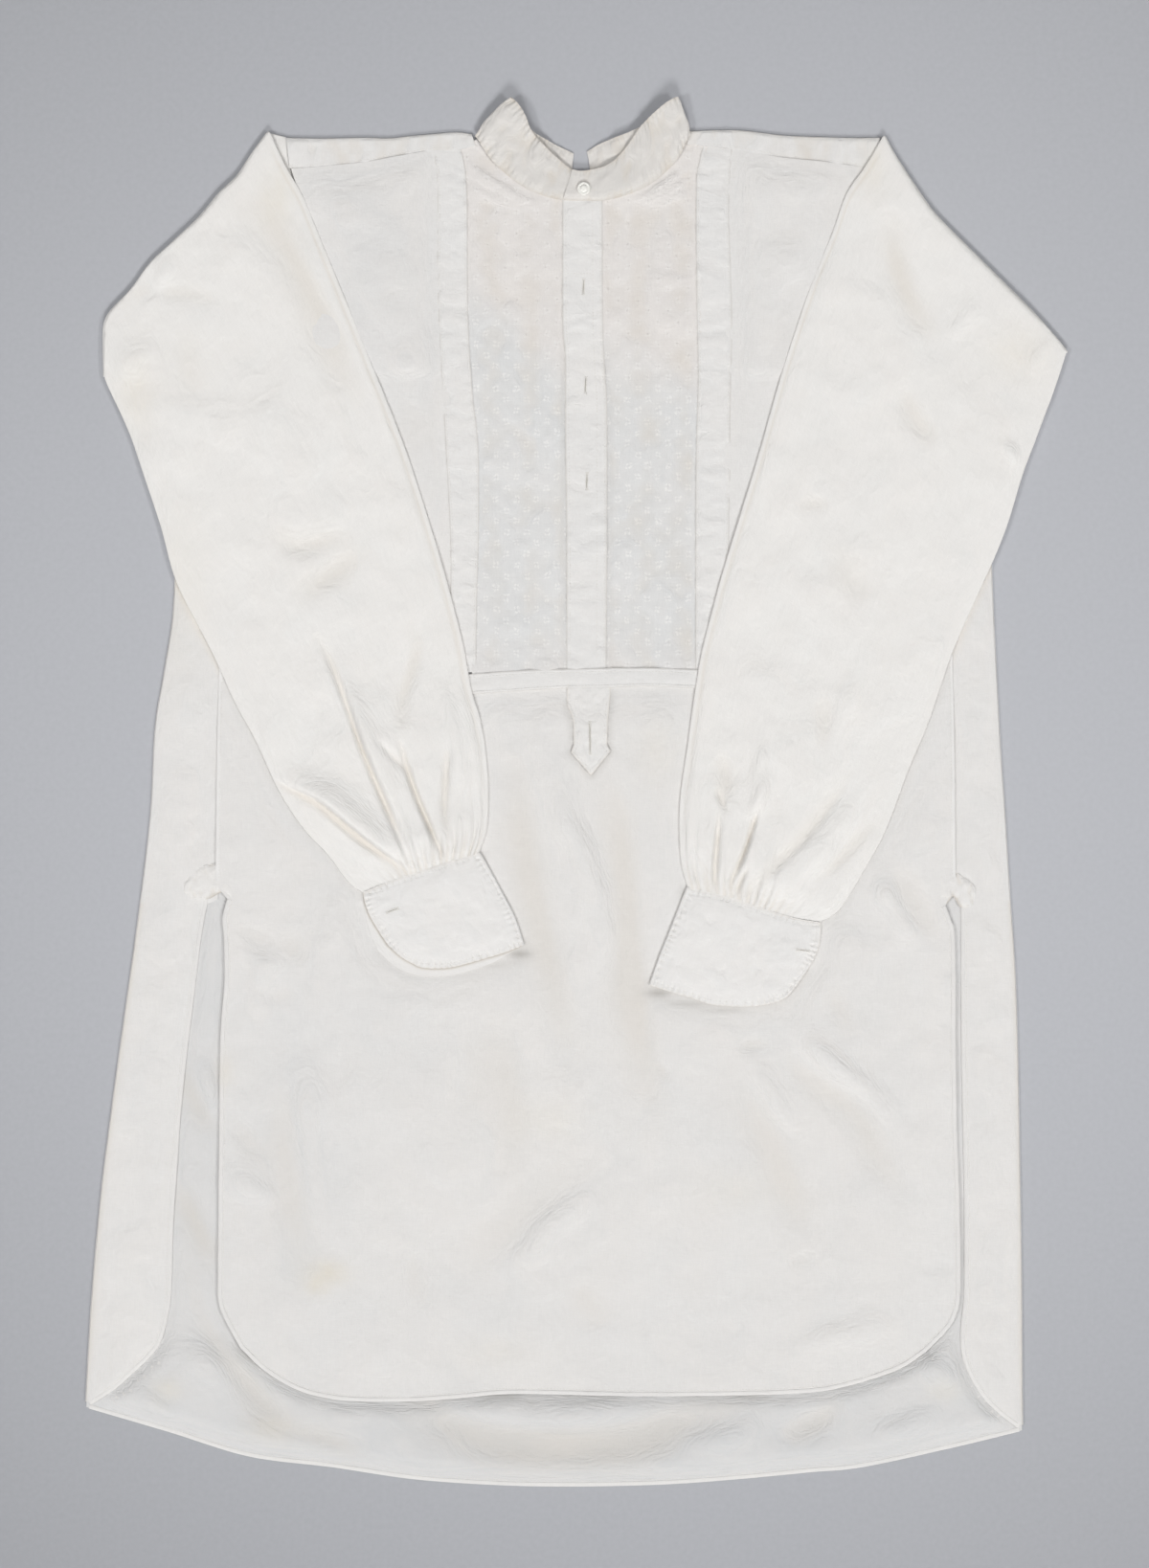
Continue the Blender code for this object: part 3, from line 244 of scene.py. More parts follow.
# Neckband stations from the front overlap round to the centre back:
# foot edge x, y, height of its middle, then the same of the top edge
COLLAR_LEFT = [
    (25, 446.5, 3.1, 27, 469, 3.1),
    (5, 445, 3.1, 5, 467, 3.1),
    (-10.5, 445.5, 3.1, -4, 468.5, 3.4),
    (-30, 450.5, 3.2, -12.5, 475, 4.2),
    (-49, 461.5, 3.4, -23, 484.5, 5.4),
    (-63.5, 475, 3.8, -33, 495.5, 7.4),
    (-70, 484, 4.3, -38.5, 508, 9.6),
    (-73, 489, 4.6, -44, 516.5, 11.0),
    (-76.5, 493.5, 3.7, -49.5, 521.5, 9.8),
    (-73, 490.5, 2.7, -45, 516, 8.4),
    (-64, 482, 1.9, -35, 499, 5.4),
    (-40, 469, 0.9, -20.5, 489.5, 2.4),
    (-4, 461.5, 0.5, -2, 480.5, 0.5),
]
COLLAR_RIGHT = [
    (-10, 445.5, 4.4, -3, 468, 4.4),
    (5, 445, 4.4, 5, 467, 4.4),
    (20, 445, 4.4, 22.5, 471, 4.6),
    (39, 449.5, 4.2, 35, 481.5, 5.6),
    (57, 458.5, 4.0, 48.5, 500, 7.4),
    (71, 470, 4.2, 59, 510.5, 9.2),
    (79, 481, 4.6, 66.5, 516.5, 10.6),
    (82, 488, 4.8, 71.5, 519.5, 11.2),
    (85.5, 494.5, 3.8, 76.5, 521.5, 9.9),
    (81, 489.5, 2.8, 69.5, 517, 8.4),
    (73.5, 481.5, 2.0, 49, 500.5, 5.4),
    (49, 467.5, 0.9, 19.5, 488.5, 2.2),
    (11.5, 461.5, 0.5, 8, 482, 0.5),
]

# Folds: route, soft width to its left and right along the route, height (minus is a trough)
SLEEVE_FOLDS_LEFT = [
    (((-202, 130), (-185, 99), (-173, 67), (-160, 31), (-145, -5), (-130, -40), (-115, -66)), 3, 2.6, -3),
    (((-190, 99), (-164, 48), (-148, 9), (-132, -24)), 12, 5, 1.8),
    (((-124, 135), (-120, 107), (-130, 71), (-133, 38)), 5, 5, -1),
    (((-136, 50), (-124, 9), (-112, -21), (-94, -62)), 2.4, 2.4, -2.4),
    (((-153, 45), (-138, 27), (-122, 12)), 3, 3, -0.8),
    (((-95, 45), (-98, 13), (-99, -16), (-94, -41)), 3, 3, -1.3),
    (((-238, 18), (-209, 4), (-189, -7), (-161, -30), (-138, -47), (-112, -66)), 14, 2.4, 3.0),
    (((-240, 14), (-210, 0), (-191, -10), (-163, -33), (-140, -50), (-114, -69)), 2.4, 3.4, -3.2),
    (((-270, 462), (-245, 441), (-225, 425), (-208, 398), (-190, 358), (-176, 316), (-162, 276)),
     12, 14, -1.4),
    (((-232, 440), (-209, 412), (-187, 372), (-170, 330)), 6, 6, 0.7),
    (((-226, 478), (-211, 449), (-199, 420), (-163, 332), (-136, 263), (-118, 209), (-96, 135)), 4, 4, 0.7),
    (((-351, 367), (-325, 376), (-286, 374), (-261, 367)), 6, 6, -0.7),
    (((-327, 353), (-310, 387), (-300, 408)), 6, 6, 0.8),
    (((-346, 300), (-333, 324), (-308, 342)), 8, 9, 0.5),
    (((-336, 276), (-324, 252), (-314, 222)), 8, 9, 0.5),
    (((-232, 207), (-212, 186), (-181, 191), (-161, 187)), 8, 8, -0.8),
    (((-157, 193), (-173, 171), (-192, 158), (-214, 141)), 8, 10, -1),
    (((-286, 359), (-292, 326), (-282, 287)), 12, 12, -0.6),
    (((-106, 92), (-96, 67), (-89, 27), (-84, -16)), 5, 5, 0.8),
    (((-192, -55), (-180, -70), (-166, -86)), 2.5, 3, -1.2),
]
SLEEVE_FOLDS_RIGHT = [
    (((141, 4), (133, -23), (125, -47), (108, -85)), 1.7, 2.2, -2.0),
    (((143, 17), (138, -5), (132, -24)), 5, 6, 1.3),
    (((108, -6), (106, -30), (101, -86)), 2.2, 2.2, -1.6),
    (((104, 6), (112, -12), (115, -9)), 3, 3, -0.9),
    (((216, 34), (192, -7), (164, -41), (112, -92)), 4, 7, -0.9),
    (((223, 19), (204, -16), (176, -52), (143, -81)), 9, 9, 0.9),
    (((236, -14), (218, -29), (200, -48), (172, -76)), 4, 6, -0.8),
    (((132, -52), (125, -63), (116, -82)), 1.8, 1.8, -1.2),
    (((233, 441), (238, 409), (246, 380), (259, 355), (276, 336)), 8, 8, -1.3),
    (((276, 336), (294, 359), (308, 372)), 7, 7, 0.7),
    (((243, 312), (256, 279), (276, 259)), 7, 8, -0.9),
    (((319, 264), (336, 243)), 4, 4, 0.8),
    (((163, 210), (175, 217), (194, 215)), 5, 5, -0.6),
    (((182, 182), (200, 171), (218, 135)), 10, 10, -0.6),
    (((108, 35), (112, 9), (108, -12)), 6, 6, -0.9),
    (((140, 42), (138, 20), (135, -1)), 5, 6, 0.9),
    (((179, 76), (187, 53), (184, 27)), 8, 8, -0.6),
    (((218, 99), (203, 63), (186, 27)), 8, 8, 0.6),
    (((218, 492), (210, 470), (203, 449)), 6, 6, -0.8),
    (((362, 343), (348, 328), (338, 308)), 5, 6, 0.7),
]
FRONT_FOLDS = [
    (((10, 42), (30, -6), (36, -68), (42, -140), (50, -190), (58, -226), (76, -262)), 9, 16, -2.3),
    (((13, -23), (24, -81), (27, -153)), 13, 13, 1.1),
    (((56, -203), (62, -207), (70, -216)), 3, 3, -0.8),
    (((-46, 62), (-42, -10), (-31, -80), (-18, -138), (-9, -180), (-1, -226)), 10, 14, -1.7),
    (((-19, 27), (-10, -16), (6, -55), (4, -110)), 10, 11, 1.0),
    (((-62, -150), (-52, -200), (-48, -250), (-50, -310)), 11, 14, -0.9),
    (((-216, -196), (-220, -250), (-215, -293), (-207, -346), (-205, -384)), 11, 14, -1.0),
    (((-204, -189), (-202, -253), (-194, -333)), 11, 11, 0.7),
    (((-264, -239), (-245, -264), (-226, -281)), 8, 8, -0.6),
    (((-264, -279), (-245, -297), (-217, -307)), 8, 8, 0.5),
    (((27, -261), (-9, -288), (-41, -317), (-73, -348), (-104, -366)), 13, 17, -0.7),
    (((-46, -342), (-18, -318), (6, -298)), 9, 10, 0.35),
    (((-26, -358), (6, -340), (36, -320)), 9, 9, 0.3),
    (((-4, -322), (12, -342), (29, -360)), 9, 9, -0.25),
    (((-258, -96), (-240, -108), (-222, -104)), 5, 6, -0.5),
    (((-256, -112), (-236, -128), (-214, -126)), 6, 6, 0.5),
    (((-248, -140), (-230, -152), (-206, -150)), 6, 6, -0.4),
    (((27, -286), (-1, -311), (-30, -343), (-66, -368)), 13, 13, 0.6),
    (((-217, -101), (-213, -117), (-209, -131)), 9, 9, -0.6),
    (((-233, -113), (-238, -153), (-230, -181)), 8, 8, 0.5),
    (((110, -196), (132, -232), (150, -271), (170, -322), (182, -360)), 12, 15, -1.1),
    (((125, -189), (147, -228), (166, -268)), 9, 9, 0.7),
    (((143, -171), (170, -209), (209, -239), (223, -268), (240, -293), (258, -318)), 12, 11, -1.2),
    (((157, -167), (186, -199), (225, -232), (236, -261)), 9, 12, 1.1),
    (((117, -192), (132, -189), (147, -190)), 4, 4, -0.7),
    (((187, -138), (199, -163), (207, -190)), 8, 8, -0.6),
    (((233, -45), (251, -77), (275, -118)), 9, 9, -0.9),
    (((218, -52), (240, -88), (261, -124)), 8, 9, 0.7),
    (((157, -355), (170, -351), (184, -352)), 4, 5, -0.7),
    (((141, -435), (179, -412), (215, -403), (266, -397)), 9, 10, 0.5),
    (((-1, -361), (9, -383), (27, -401)), 9, 9, -0.7),
    (((-124, -336), (-120, -369), (-115, -390)), 7, 7, -0.7),
    (((-181, -88), (-166, -124), (-173, -167)), 14, 14, 0.5),
    (((-73, -160), (-72, -210), (-84, -261)), 14, 14, -0.5),
    (((-181, 423), (-166, 441), (-142, 449)), 12, 12, 0.25),
    (((-127, 355), (-138, 380), (-118, 408)), 13, 13, -0.25),
    (((-132, 301), (-125, 279), (-117, 251)), 13, 13, -0.3),
    (((151, 366), (156, 337), (147, 308)), 13, 13, -0.3),
    (((135, 431), (153, 420), (179, 423)), 13, 13, -0.25),
    (((-285, -185), (-274, -225), (-264, -253)), 7, 7, -0.6),
]
BACK_FOLDS = [
    (((-300, -196), (-286, -232), (-269, -262)), 7, 9, -1.2),
    (((-289, -190), (-274, -225), (-266, -253)), 7, 7, 0.9),
    (((-302, -284), (-286, -322), (-269, -365)), 7, 10, -1.4),
    (((-305, -346), (-286, -397), (-261, -441), (-225, -471)), 12, 12, 1.4),
    (((-300, -335), (-281, -400), (-243, -450), (-196, -496)), 9, 13, -1.9),
    (((-325, -441), (-318, -459), (-297, -477)), 7, 8, 0.9),
    (((-217, -477), (-189, -484), (-153, -498)), 8, 9, -0.9),
    (((-160, -444), (-122, -461), (-88, -477), (-48, -487), (7, -488), (42, -485), (71, -475), (122, -458),
      (150, -446)), 12, 18, -1.9),
    (((-109, -454), (-66, -466), (-9, -470), (60, -462)), 9, 10, 0.7),
    (((71, -492), (114, -484), (143, -469)), 9, 9, 0.9),
    (((146, -485), (175, -474), (204, -454)), 7, 9, -1.1),
    (((254, -425), (269, -433), (287, -448)), 7, 7, 0.9),
    (((215, -484), (243, -477), (276, -462)), 7, 8, 0.8),
    (((-41, -451), (-35, -456), (-30, -466)), 4, 4, -0.5),
    (((-333, -397), (-347, -412), (-356, -437)), 6, 6, 0.5),
    (((-120, 380), (-96, 300), (-104, 210), (-88, 120)), 12, 14, 0.7),
    (((70, 350), (96, 262), (84, 160), (102, 60)), 14, 12, 0.7),
    (((-30, 250), (-12, 140), (-22, 20), (4, -90)), 12, 12, 0.6),
    (((-210, 40), (-176, -50), (-196, -160), (-168, -260)), 14, 12, 0.7),
    (((190, 60), (214, -40), (198, -140), (222, -250)), 12, 14, 0.7),
    (((40, -140), (60, -220), (52, -310), (76, -390)), 12, 12, 0.6),
    (((-80, -150), (-104, -230), (-92, -330)), 12, 12, 0.6),
]
NECK_PLEATS = [
    (((-86, 476), (-76, 468), (-60, 458), (-43, 448), (-26, 442)), 1.7, 2.4, 1.0),
    (((-85, 468), (-70, 459), (-52, 448), (-34, 441)), 1.7, 2.4, 0.9),
    (((-84, 459), (-66, 449), (-44, 440)), 2, 2.6, 0.7),
    (((-82, 450), (-60, 444), (-40, 441)), 2, 3, 0.4),
    (((92, 474), (80, 467), (66, 457), (52, 448), (36, 441)), 1.7, 2.4, 1.0),
    (((91, 464), (74, 455), (56, 445), (42, 438)), 1.7, 2.4, 0.9),
    (((90, 452), (70, 446), (50, 438)), 1.9, 2.6, 0.7),
]

# Faint old stains: x, y, half width, half height, strength
STAINS = [
    (-187, -361, 16, 10, 0.8), (-196, -372, 9, 7, 0.5), (-307, -448, 12, 9, 0.5), (-228, -478, 22, 9, 0.4),
    (276, -448, 12, 8, 0.4), (-264, -210, 7, 12, 0.4), (-344, -120, 8, 30, 0.3), (-330, 300, 14, 26, 0.4),
    (-226, 448, 12, 20, 0.5), (222, 470, 10, 22, 0.4), (-20, -246, 26, 16, 0.25), (120, -300, 30, 16, 0.2),
    (-300, 150, 20, 60, 0.25), (330, 330, 24, 20, 0.3), (-60, -420, 30, 12, 0.2), (60, 30, 18, 24, 0.25),
]

# Broad greyer areas, partly thin cloth and partly painted shade: x, y, half width, half height, strength
GREY_AREAS = [
    (-150, 380, 60, 90, 0.35), (-215, -280, 45, 130, 0.6), (0, -490, 330, 34, 0.55),
    (-60, -380, 120, 40, 0.2), (-130, -200, 40, 60, 0.25),
]

# Shade under the raised corners of the cuffs: x, y, half width, half height, strength
UNDER_CUFFS = [
    (-43, -121, 9, 4, 0.8), (-62, -130, 18, 3.5, 0.3), (-94, -139, 26, 3, 0.2), (62, -150, 10, 4, 0.8),
    (86, -158, 20, 3.5, 0.5), (112, -163, 20, 3, 0.35), (-72, -50, 4, 5, 0.5), (81, -76, 4, 5, 0.5),
]

# Buttonholes: centre, direction of the slit, and its length
PLACKET_HOLES = [((5.3, 380.2), (0.05, 1), 11), ((6.8, 306), (0.03, 1), 12), ((7.8, 234), (0.03, 1), 12)]
TAB_HOLE = ((10.1, 41.0), (-0.01, 1), 24)
CUFF_HOLES = {"left": ((-138.1, -88.3), (0.94, 0.34), 8.5), "right": ((170.0, -118.3), (1, -0.13), 9)}


def length(name, description, default, low, high):
    """A size that the sidebar shows with its unit."""
    return FloatProperty(
        name=name, description=description, default=default, min=low, max=high, precision=5,
        unit="LENGTH", subtype="DISTANCE")


def colour(name, description, default):
    return FloatVectorProperty(
        name=name, description=description, default=default, size=3, min=0.0, max=1.0, subtype="COLOR")


class TUNIC_PG_sizes(bpy.types.PropertyGroup):
    """Sizes of the cloth and of the sewing"""
    cloth: length("Cloth", "Thickness of one layer of cotton", 0.0006, 0.0002, 0.002)
    made_up: length("Made-up band", "Thickness of bands and cuffs, several layers sewn together", 0.001,
                    0.0005, 0.003)
    mesh: length("Mesh step", "Distance between points of the larger pieces", 0.0042, 0.002, 0.02)
    hem: length("Hem", "Width of the narrow hem round the tails and vents", 0.0034, 0.002, 0.01)
    hem_thick: length("Hem thickness", "Thickness of the rolled hem", 0.00095, 0.0006, 0.003)
    stitch: length("Stitch", "Length of one stitch", 0.0017, 0.0008, 0.005)
    stitch_gap: length("Stitch gap", "Distance between stitches", 0.0007, 0.0002, 0.003)
    thread: length("Thread", "Width of the sewing thread", 0.00045, 0.0002, 0.001)
    inset: length("Topstitching", "Distance of the topstitching from an edge", 0.0026, 0.001, 0.006)


class TUNIC_PG_colours(bpy.types.PropertyGroup):
    """Colours of the cottons, the thread, the button and the table"""
    body: colour("Body", "Cotton of the body", (0.765, 0.752, 0.735))
    sleeve: colour("Sleeve", "Cotton of the sleeves and cuffs", (0.825, 0.81, 0.785))
    band: colour("Band", "Cotton of the bands and the yoke", (0.775, 0.765, 0.75))
    neck: colour("Neckband", "Cotton of the neckband, a little greyer", (0.69, 0.668, 0.638))
    cuff: colour("Cuff", "Cotton of the cuffs", (0.80, 0.79, 0.775))
    voile: colour("Voile", "Thin cotton of the bosom, lower part", (0.725, 0.725, 0.72))
    voile_warm: colour("Voile, warm", "Thin cotton of the bosom near the neck", (0.765, 0.735, 0.71))
    # crease is the colour of painted warm shade in folds, in seams and under edges
    crease: colour("Crease", "Warm shade in the depth of a fold", (0.62, 0.54, 0.43))
    stain: colour("Stain", "Faint yellowing", (0.74, 0.66, 0.50))
    thread: colour("Thread", "Sewing thread", (0.74, 0.72, 0.68))
    slit: colour("Slit", "Shaded inside of a buttonhole", (0.42, 0.40, 0.36))
    pearl: colour("Pearl", "Mother of pearl button", (0.80, 0.78, 0.72))
    table: colour("Table", "Paper that the shirt lies on", (0.52, 0.528, 0.557))


class TUNIC_PG_stage(bpy.types.PropertyGroup):
    """Camera and lights"""
    height: length("Camera height", "Camera above the table", 2.621, 0.5, 10.0)
    lens: FloatProperty(name="Lens", description="Focal length", default=80.0, min=20, max=200,
                        unit="CAMERA")
    key: FloatProperty(name="Key", description="Power of each side light", default=27.0, min=0,
                       unit="POWER")
    low: FloatProperty(name="Low", description="Strength of the far light beyond the hem", default=1.35,
                       min=0)
    softness: FloatProperty(name="Softness", description="Angle that the far light fills", default=0.28,
                            min=0, unit="ROTATION", subtype="ANGLE")
    fill: FloatProperty(name="Fill", description="Power of the wide light overhead", default=20.0, min=0,
                        unit="POWER")
    sky: FloatProperty(name="Room", description="Strength of the room's light", default=0.18, min=0)


def sizes():
    return bpy.context.scene.tunic_sizes


def colours():
    return bpy.context.scene.tunic_colours


def smooth(t):
    t = np.clip(t, 0.0, 1.0)
    return t * t * (3 - 2 * t)


def bell(t):
    """1 at nought, falling softly to nothing on both sides."""
    return np.exp(-t ** 2)


def travel(points):
    """How far along a line each of its points lies."""
    gaps = np.linalg.norm(np.diff(points, axis=0), axis=1)
    return np.concatenate([[0.0], np.cumsum(gaps)])


class Path:
    """A smooth curve through a few points, read by the fraction of its length."""

    def __init__(self, points, steps=10):
        p = np.asarray(points, float)
        p = np.vstack([2 * p[0] - p[1], p, 2 * p[-1] - p[-2]])
        a, b, c, d = (p[i:len(p) - 3 + i, None, :] for i in range(4))
        t = (np.arange(steps) / steps)[None, :, None]
        runs = 0.5 * (2 * b + (c - a) * t + (2 * a - 5 * b + 4 * c - d) * t ** 2
                      + (3 * b - a - 3 * c + d) * t ** 3)
        self.line = np.vstack([runs.reshape(-1, p.shape[1]), p[-2]])
        self.length = travel(self.line)

    def at(self, t):
        wanted = np.clip(t, 0.0, 1.0) * self.length[-1]
        return np.stack([np.interp(wanted, self.length, c) for c in self.line.T], axis=-1)

    def across(self, value, known=1, read=0):
        """Where the curve's known coordinate passes a value, the other coordinate."""
        order = np.argsort(self.line[:, known], kind="stable")
        return np.interp(value, self.line[order, known], self.line[order, read])

    def every(self, step):
        """Points about one step apart along the whole curve."""
        return self.at(np.linspace(0, 1, max(int(self.length[-1] / step), 2) + 1))


def even(points, step):
    """Points about one step apart along a smooth line."""
    return Path(points).every(step)


def join(*runs):
    """One outline from several edges, without the points that they share."""
    points = [np.asarray(runs[0], float)]
    for run in runs[1:]:
        run = np.asarray(run, float)
        points.append(run[1:] if np.linalg.norm(run[0] - points[-1][-1]) < 0.5 else run)
    outline = np.vstack(points)
    if np.linalg.norm(outline[0] - outline[-1]) < 0.5:
        outline = outline[:-1]
    return outline


def shifted(points, distance):
    """A line moved sideways, to the left of its direction of travel."""
    points = np.asarray(points, float)
    run = np.gradient(points, axis=0)
    run /= np.maximum(np.linalg.norm(run, axis=1, keepdims=True), 1e-9)
    return points + distance * np.stack([-run[:, 1], run[:, 0]], axis=-1)


def coons(top, foot, left, right, us, vs):
    """Points of a sheet between four edges, in rows from the top edge to the foot edge."""
    u, v = np.meshgrid(us, vs)
    t, f, a, b = top.at(u), foot.at(u), left.at(v), right.at(v)
    u, v = u[..., None], v[..., None]
    return ((1 - v) * t + v * f + (1 - u) * a + u * b - (1 - u) * (1 - v) * top.at(0.0)
            - u * (1 - v) * top.at(1.0) - (1 - u) * v * foot.at(0.0) - u * v * foot.at(1.0))


def grid_faces(rows, columns, keep=None, closed=False):
    """Four-sided faces between the points of a grid, which are counted row by row."""
    r, c = np.meshgrid(np.arange(rows - 1), np.arange(columns if closed else columns - 1), indexing="ij")
    here, below = r * columns, (r + 1) * columns
    d = (c + 1) % columns
    faces = np.stack([here + c, below + c, below + d, here + d], axis=-1)
    if keep is not None:
        faces = faces[keep]
    return faces.reshape(-1, 4)


def nearest(xy, line):
    """Distance to a line, how far along it that is, and on which side (1 left of travel)."""
    start, run = line[:-1], np.diff(line, axis=0)
    size = np.maximum(np.linalg.norm(run, axis=1), 1e-9)
    offset = xy[:, None, :] - start
    along = np.clip((offset * run).sum(-1) / size ** 2, 0, 1)
    away = offset - along[..., None] * run
    distance = np.linalg.norm(away, axis=-1)
    k = distance.argmin(axis=1)
    pick = np.arange(len(k))
    turn = run[k, 0] * offset[pick, k, 1] - run[k, 1] * offset[pick, k, 0]
    travelled = travel(line)[k] + along[pick, k] * size[k]
    return distance[pick, k], travelled, np.where(turn > 0, 1.0, -1.0)


def away_from(xy, points, step):
    """Distance of each point from a smooth line."""
    return nearest(xy, even(points, step))[0]


def around(xy, line, reach):
    """Which points lie within reach of the box round a line."""
    return np.all((xy > line.min(0) - reach) & (xy < line.max(0) + reach), axis=1)


def closed_line(outline):
    return np.vstack([outline, outline[:1]])


# Share of a fold's length over which each end fades, and how strongly the listed folds show
FADE = 0.42
FRONT_STRENGTH = 3.8
BACK_STRENGTH = 3.6
SLEEVE_STRENGTH = 2.3


def folded(xy, folds):
    """Height that the listed folds add at each point."""
    total = np.zeros(len(xy))
    for route, left, right, height in folds:
        line = Path(route, 6).line
        near = around(xy, line, 3 * max(left, right))
        if not near.any():
            continue
        distance, travelled, side = nearest(xy[near], line)
        done = travelled / travel(line)[-1]
        fade = smooth(np.minimum(done, 1 - done) / FADE)
        width = np.where(side > 0, left, right)
        total[near] += height * fade * bell(distance / width)
    return total


def roughness(xy, size, seed):
    """Smooth noise of one size at each point."""
    return np.array([noise.noise(Vector((x / size, y / size, seed))) for x, y in xy])


def rumpled(xy, waves, seed):
    """Small uneven waves of worn cotton. Each wave is its size and its height."""
    return sum(height * roughness(xy, size, seed) for size, height in waves)


def creased(xy, waves, seed):
    """Crisp ridges as in cotton that was pressed and then handled. Each is its size and height."""
    return sum(height * (0.3 - 2 * np.abs(roughness(xy, size, seed))) for size, height in waves)


def kept_above(height, low, bend=0.6):
    """Heights kept above a low limit, with a soft bend in place of a kink."""
    over = height - low
    return low + 0.5 * (over + np.sqrt(over ** 2 + bend ** 2))


def inside(xy, outline):
    """Which points lie in an outline."""
    count = np.zeros(len(xy), int)
    for (ax, ay), (bx, by) in zip(outline, np.roll(outline, -1, axis=0)):
        if ay == by:
            continue
        crossed = (xy[:, 1] >= min(ay, by)) & (xy[:, 1] < max(ay, by))
        x = ax + (xy[:, 1] - ay) * (bx - ax) / (by - ay)
        count += crossed & (xy[:, 0] < x)
    return count % 2 == 1


def cut(outline, step):
    """A flat piece cut to an outline: its points on an even grid, and its triangles."""
    low, high = outline.min(0), outline.max(0)
    xs, ys = np.meshgrid(np.arange(low[0], high[0], step), np.arange(low[1], high[1], step))
    xs[1::2] += step / 2
    xy = np.stack([xs.ravel(), ys.ravel()], axis=-1)
    xy = xy[inside(xy, outline)]
    border = closed_line(outline)
    parts = [part for part in np.array_split(xy, 40) if len(part)]
    clear = np.concatenate([nearest(part, border)[0] > step * 0.45 for part in parts])
    both = np.vstack([outline, xy[clear]])
    made = delaunay_2d_cdt([Vector(p) for p in both], [], [list(range(len(outline)))], 1, 1e-4)
    return np.array(made[0], float), np.array([f for f in made[2] if len(f) == 3])


def normals_of(points, faces):
    corners = points[faces].swapaxes(0, 1)
    if len(corners) == 4:
        across = np.cross(corners[2] - corners[0], corners[3] - corners[1])
    else:
        across = np.cross(corners[1] - corners[0], corners[2] - corners[0])
    total = np.zeros_like(points)
    for corner in faces.T:
        np.add.at(total, corner, across)
    return total / np.maximum(np.linalg.norm(total, axis=1, keepdims=True), 1e-12)


def placed(name, data, place=(0, 0, 0)):
    """A new object in the scene."""
    made = bpy.data.objects.new(name, data)
    made.location = place
    bpy.context.scene.collection.objects.link(made)
    return made


def new_mesh(name, points, faces, paint, fields):
    """A mesh object from points in millimetres, with values kept at its points for its material."""
    mesh = bpy.data.meshes.new(name)
    mesh.from_pydata((np.asarray(points) * MM).tolist(), [], faces)
    for field, values in fields.items():
        vector = values.ndim == 2
        made = mesh.attributes.new(field, "FLOAT_VECTOR" if vector else "FLOAT", "POINT")
        made.data.foreach_set("vector" if vector else "value", values.astype(np.float32).ravel())
    mesh.materials.append(paint)
    mesh.update()
    mesh.shade_smooth()
    mesh.set_sharp_from_angle(angle=math.radians(62))
    return placed(name, mesh)


def shell(name, points, faces, thickness, paint, grain=None, inner=(), **fields):
    """A thin closed wall of cloth on a surface of middle points. grain is each point's place in the
    flat cloth, which the weave follows. The fields named in inner stay off the second face."""
    points = np.asarray(points, float).reshape(-1, 3)
    grain = points[:, :2] if grain is None else np.asarray(grain, float).reshape(-1, 2)
    used = np.zeros(len(points), bool)
    used[faces.ravel()] = True
    order = np.cumsum(used) - 1
    faces = order[faces]
    points = points[used]
    count = len(points)
    offset = normals_of(points, faces) * thickness / 2
    a, b = faces.T.ravel(), np.roll(faces, -1, axis=1).T.ravel()
    rim = ~np.isin(a * count + b, b * count + a)
    a, b = a[rim], b[rim]
    walls = np.stack([a, a + count, b + count, b], axis=-1)
    layers = np.vstack([points + offset, points - offset])
    values = {"grain": np.column_stack([grain[used], points[:, 2]])}
    values["stain"] = spread(points[:, :2], STAINS)
    values.update({key: np.asarray(value, float).ravel()[used] for key, value in fields.items()})
    values = {key: np.concatenate([value, value * (key not in inner)]) for key, value in values.items()}
    all_faces = faces.tolist() + (faces[:, ::-1] + count).tolist() + walls.tolist()
    return new_mesh(name, layers, all_faces, paint, values)


def spread(xy, areas):
    """How strongly a list of soft oval areas covers each point."""
    total = np.zeros(len(xy))
    for x, y, wide, high, strength in areas:
        away = ((xy[:, 0] - x) / wide) ** 2 + ((xy[:, 1] - y) / high) ** 2
        total += strength * np.exp(-away)
    return np.clip(total, 0, 1)


def surface(*pieces):
    """A finder of the height of the top face under points, and of the way it faces."""
    trees = []
    for piece in pieces:
        points = [v.co for v in piece.data.vertices]
        trees.append(BVHTree.FromPolygons(points, [p.vertices for p in piece.data.polygons]))

    def under(x, y, up=True):
        start = Vector((x * MM, y * MM, 1.0 if up else -1.0))
        way = Vector((0, 0, -1.0 if up else 1.0))
        best = None
        for tree in trees:
            place, facing, _, _ = tree.ray_cast(start, way)
            if place and (best is None or (place.z > best[0].z) == up):
                best = (place, facing)
        return best

    return under


def laid_on(under, xy, up=True):
    """Points on the top face of a piece, or its underside, with the way it faces at each."""
    places, facings = [], []
    last = (0.0, Vector((0, 0, 1.0 if up else -1.0)))
    for x, y in xy:
        hit = under(x, y, up)
        if hit:
            last = (hit[0].z / MM, hit[1])
        places.append((x, y, last[0]))
        facings.append(last[1])
    return np.array(places), np.array(facings)


def unit(vectors):
    return vectors / np.maximum(np.linalg.norm(vectors, axis=-1, keepdims=True), 1e-9)


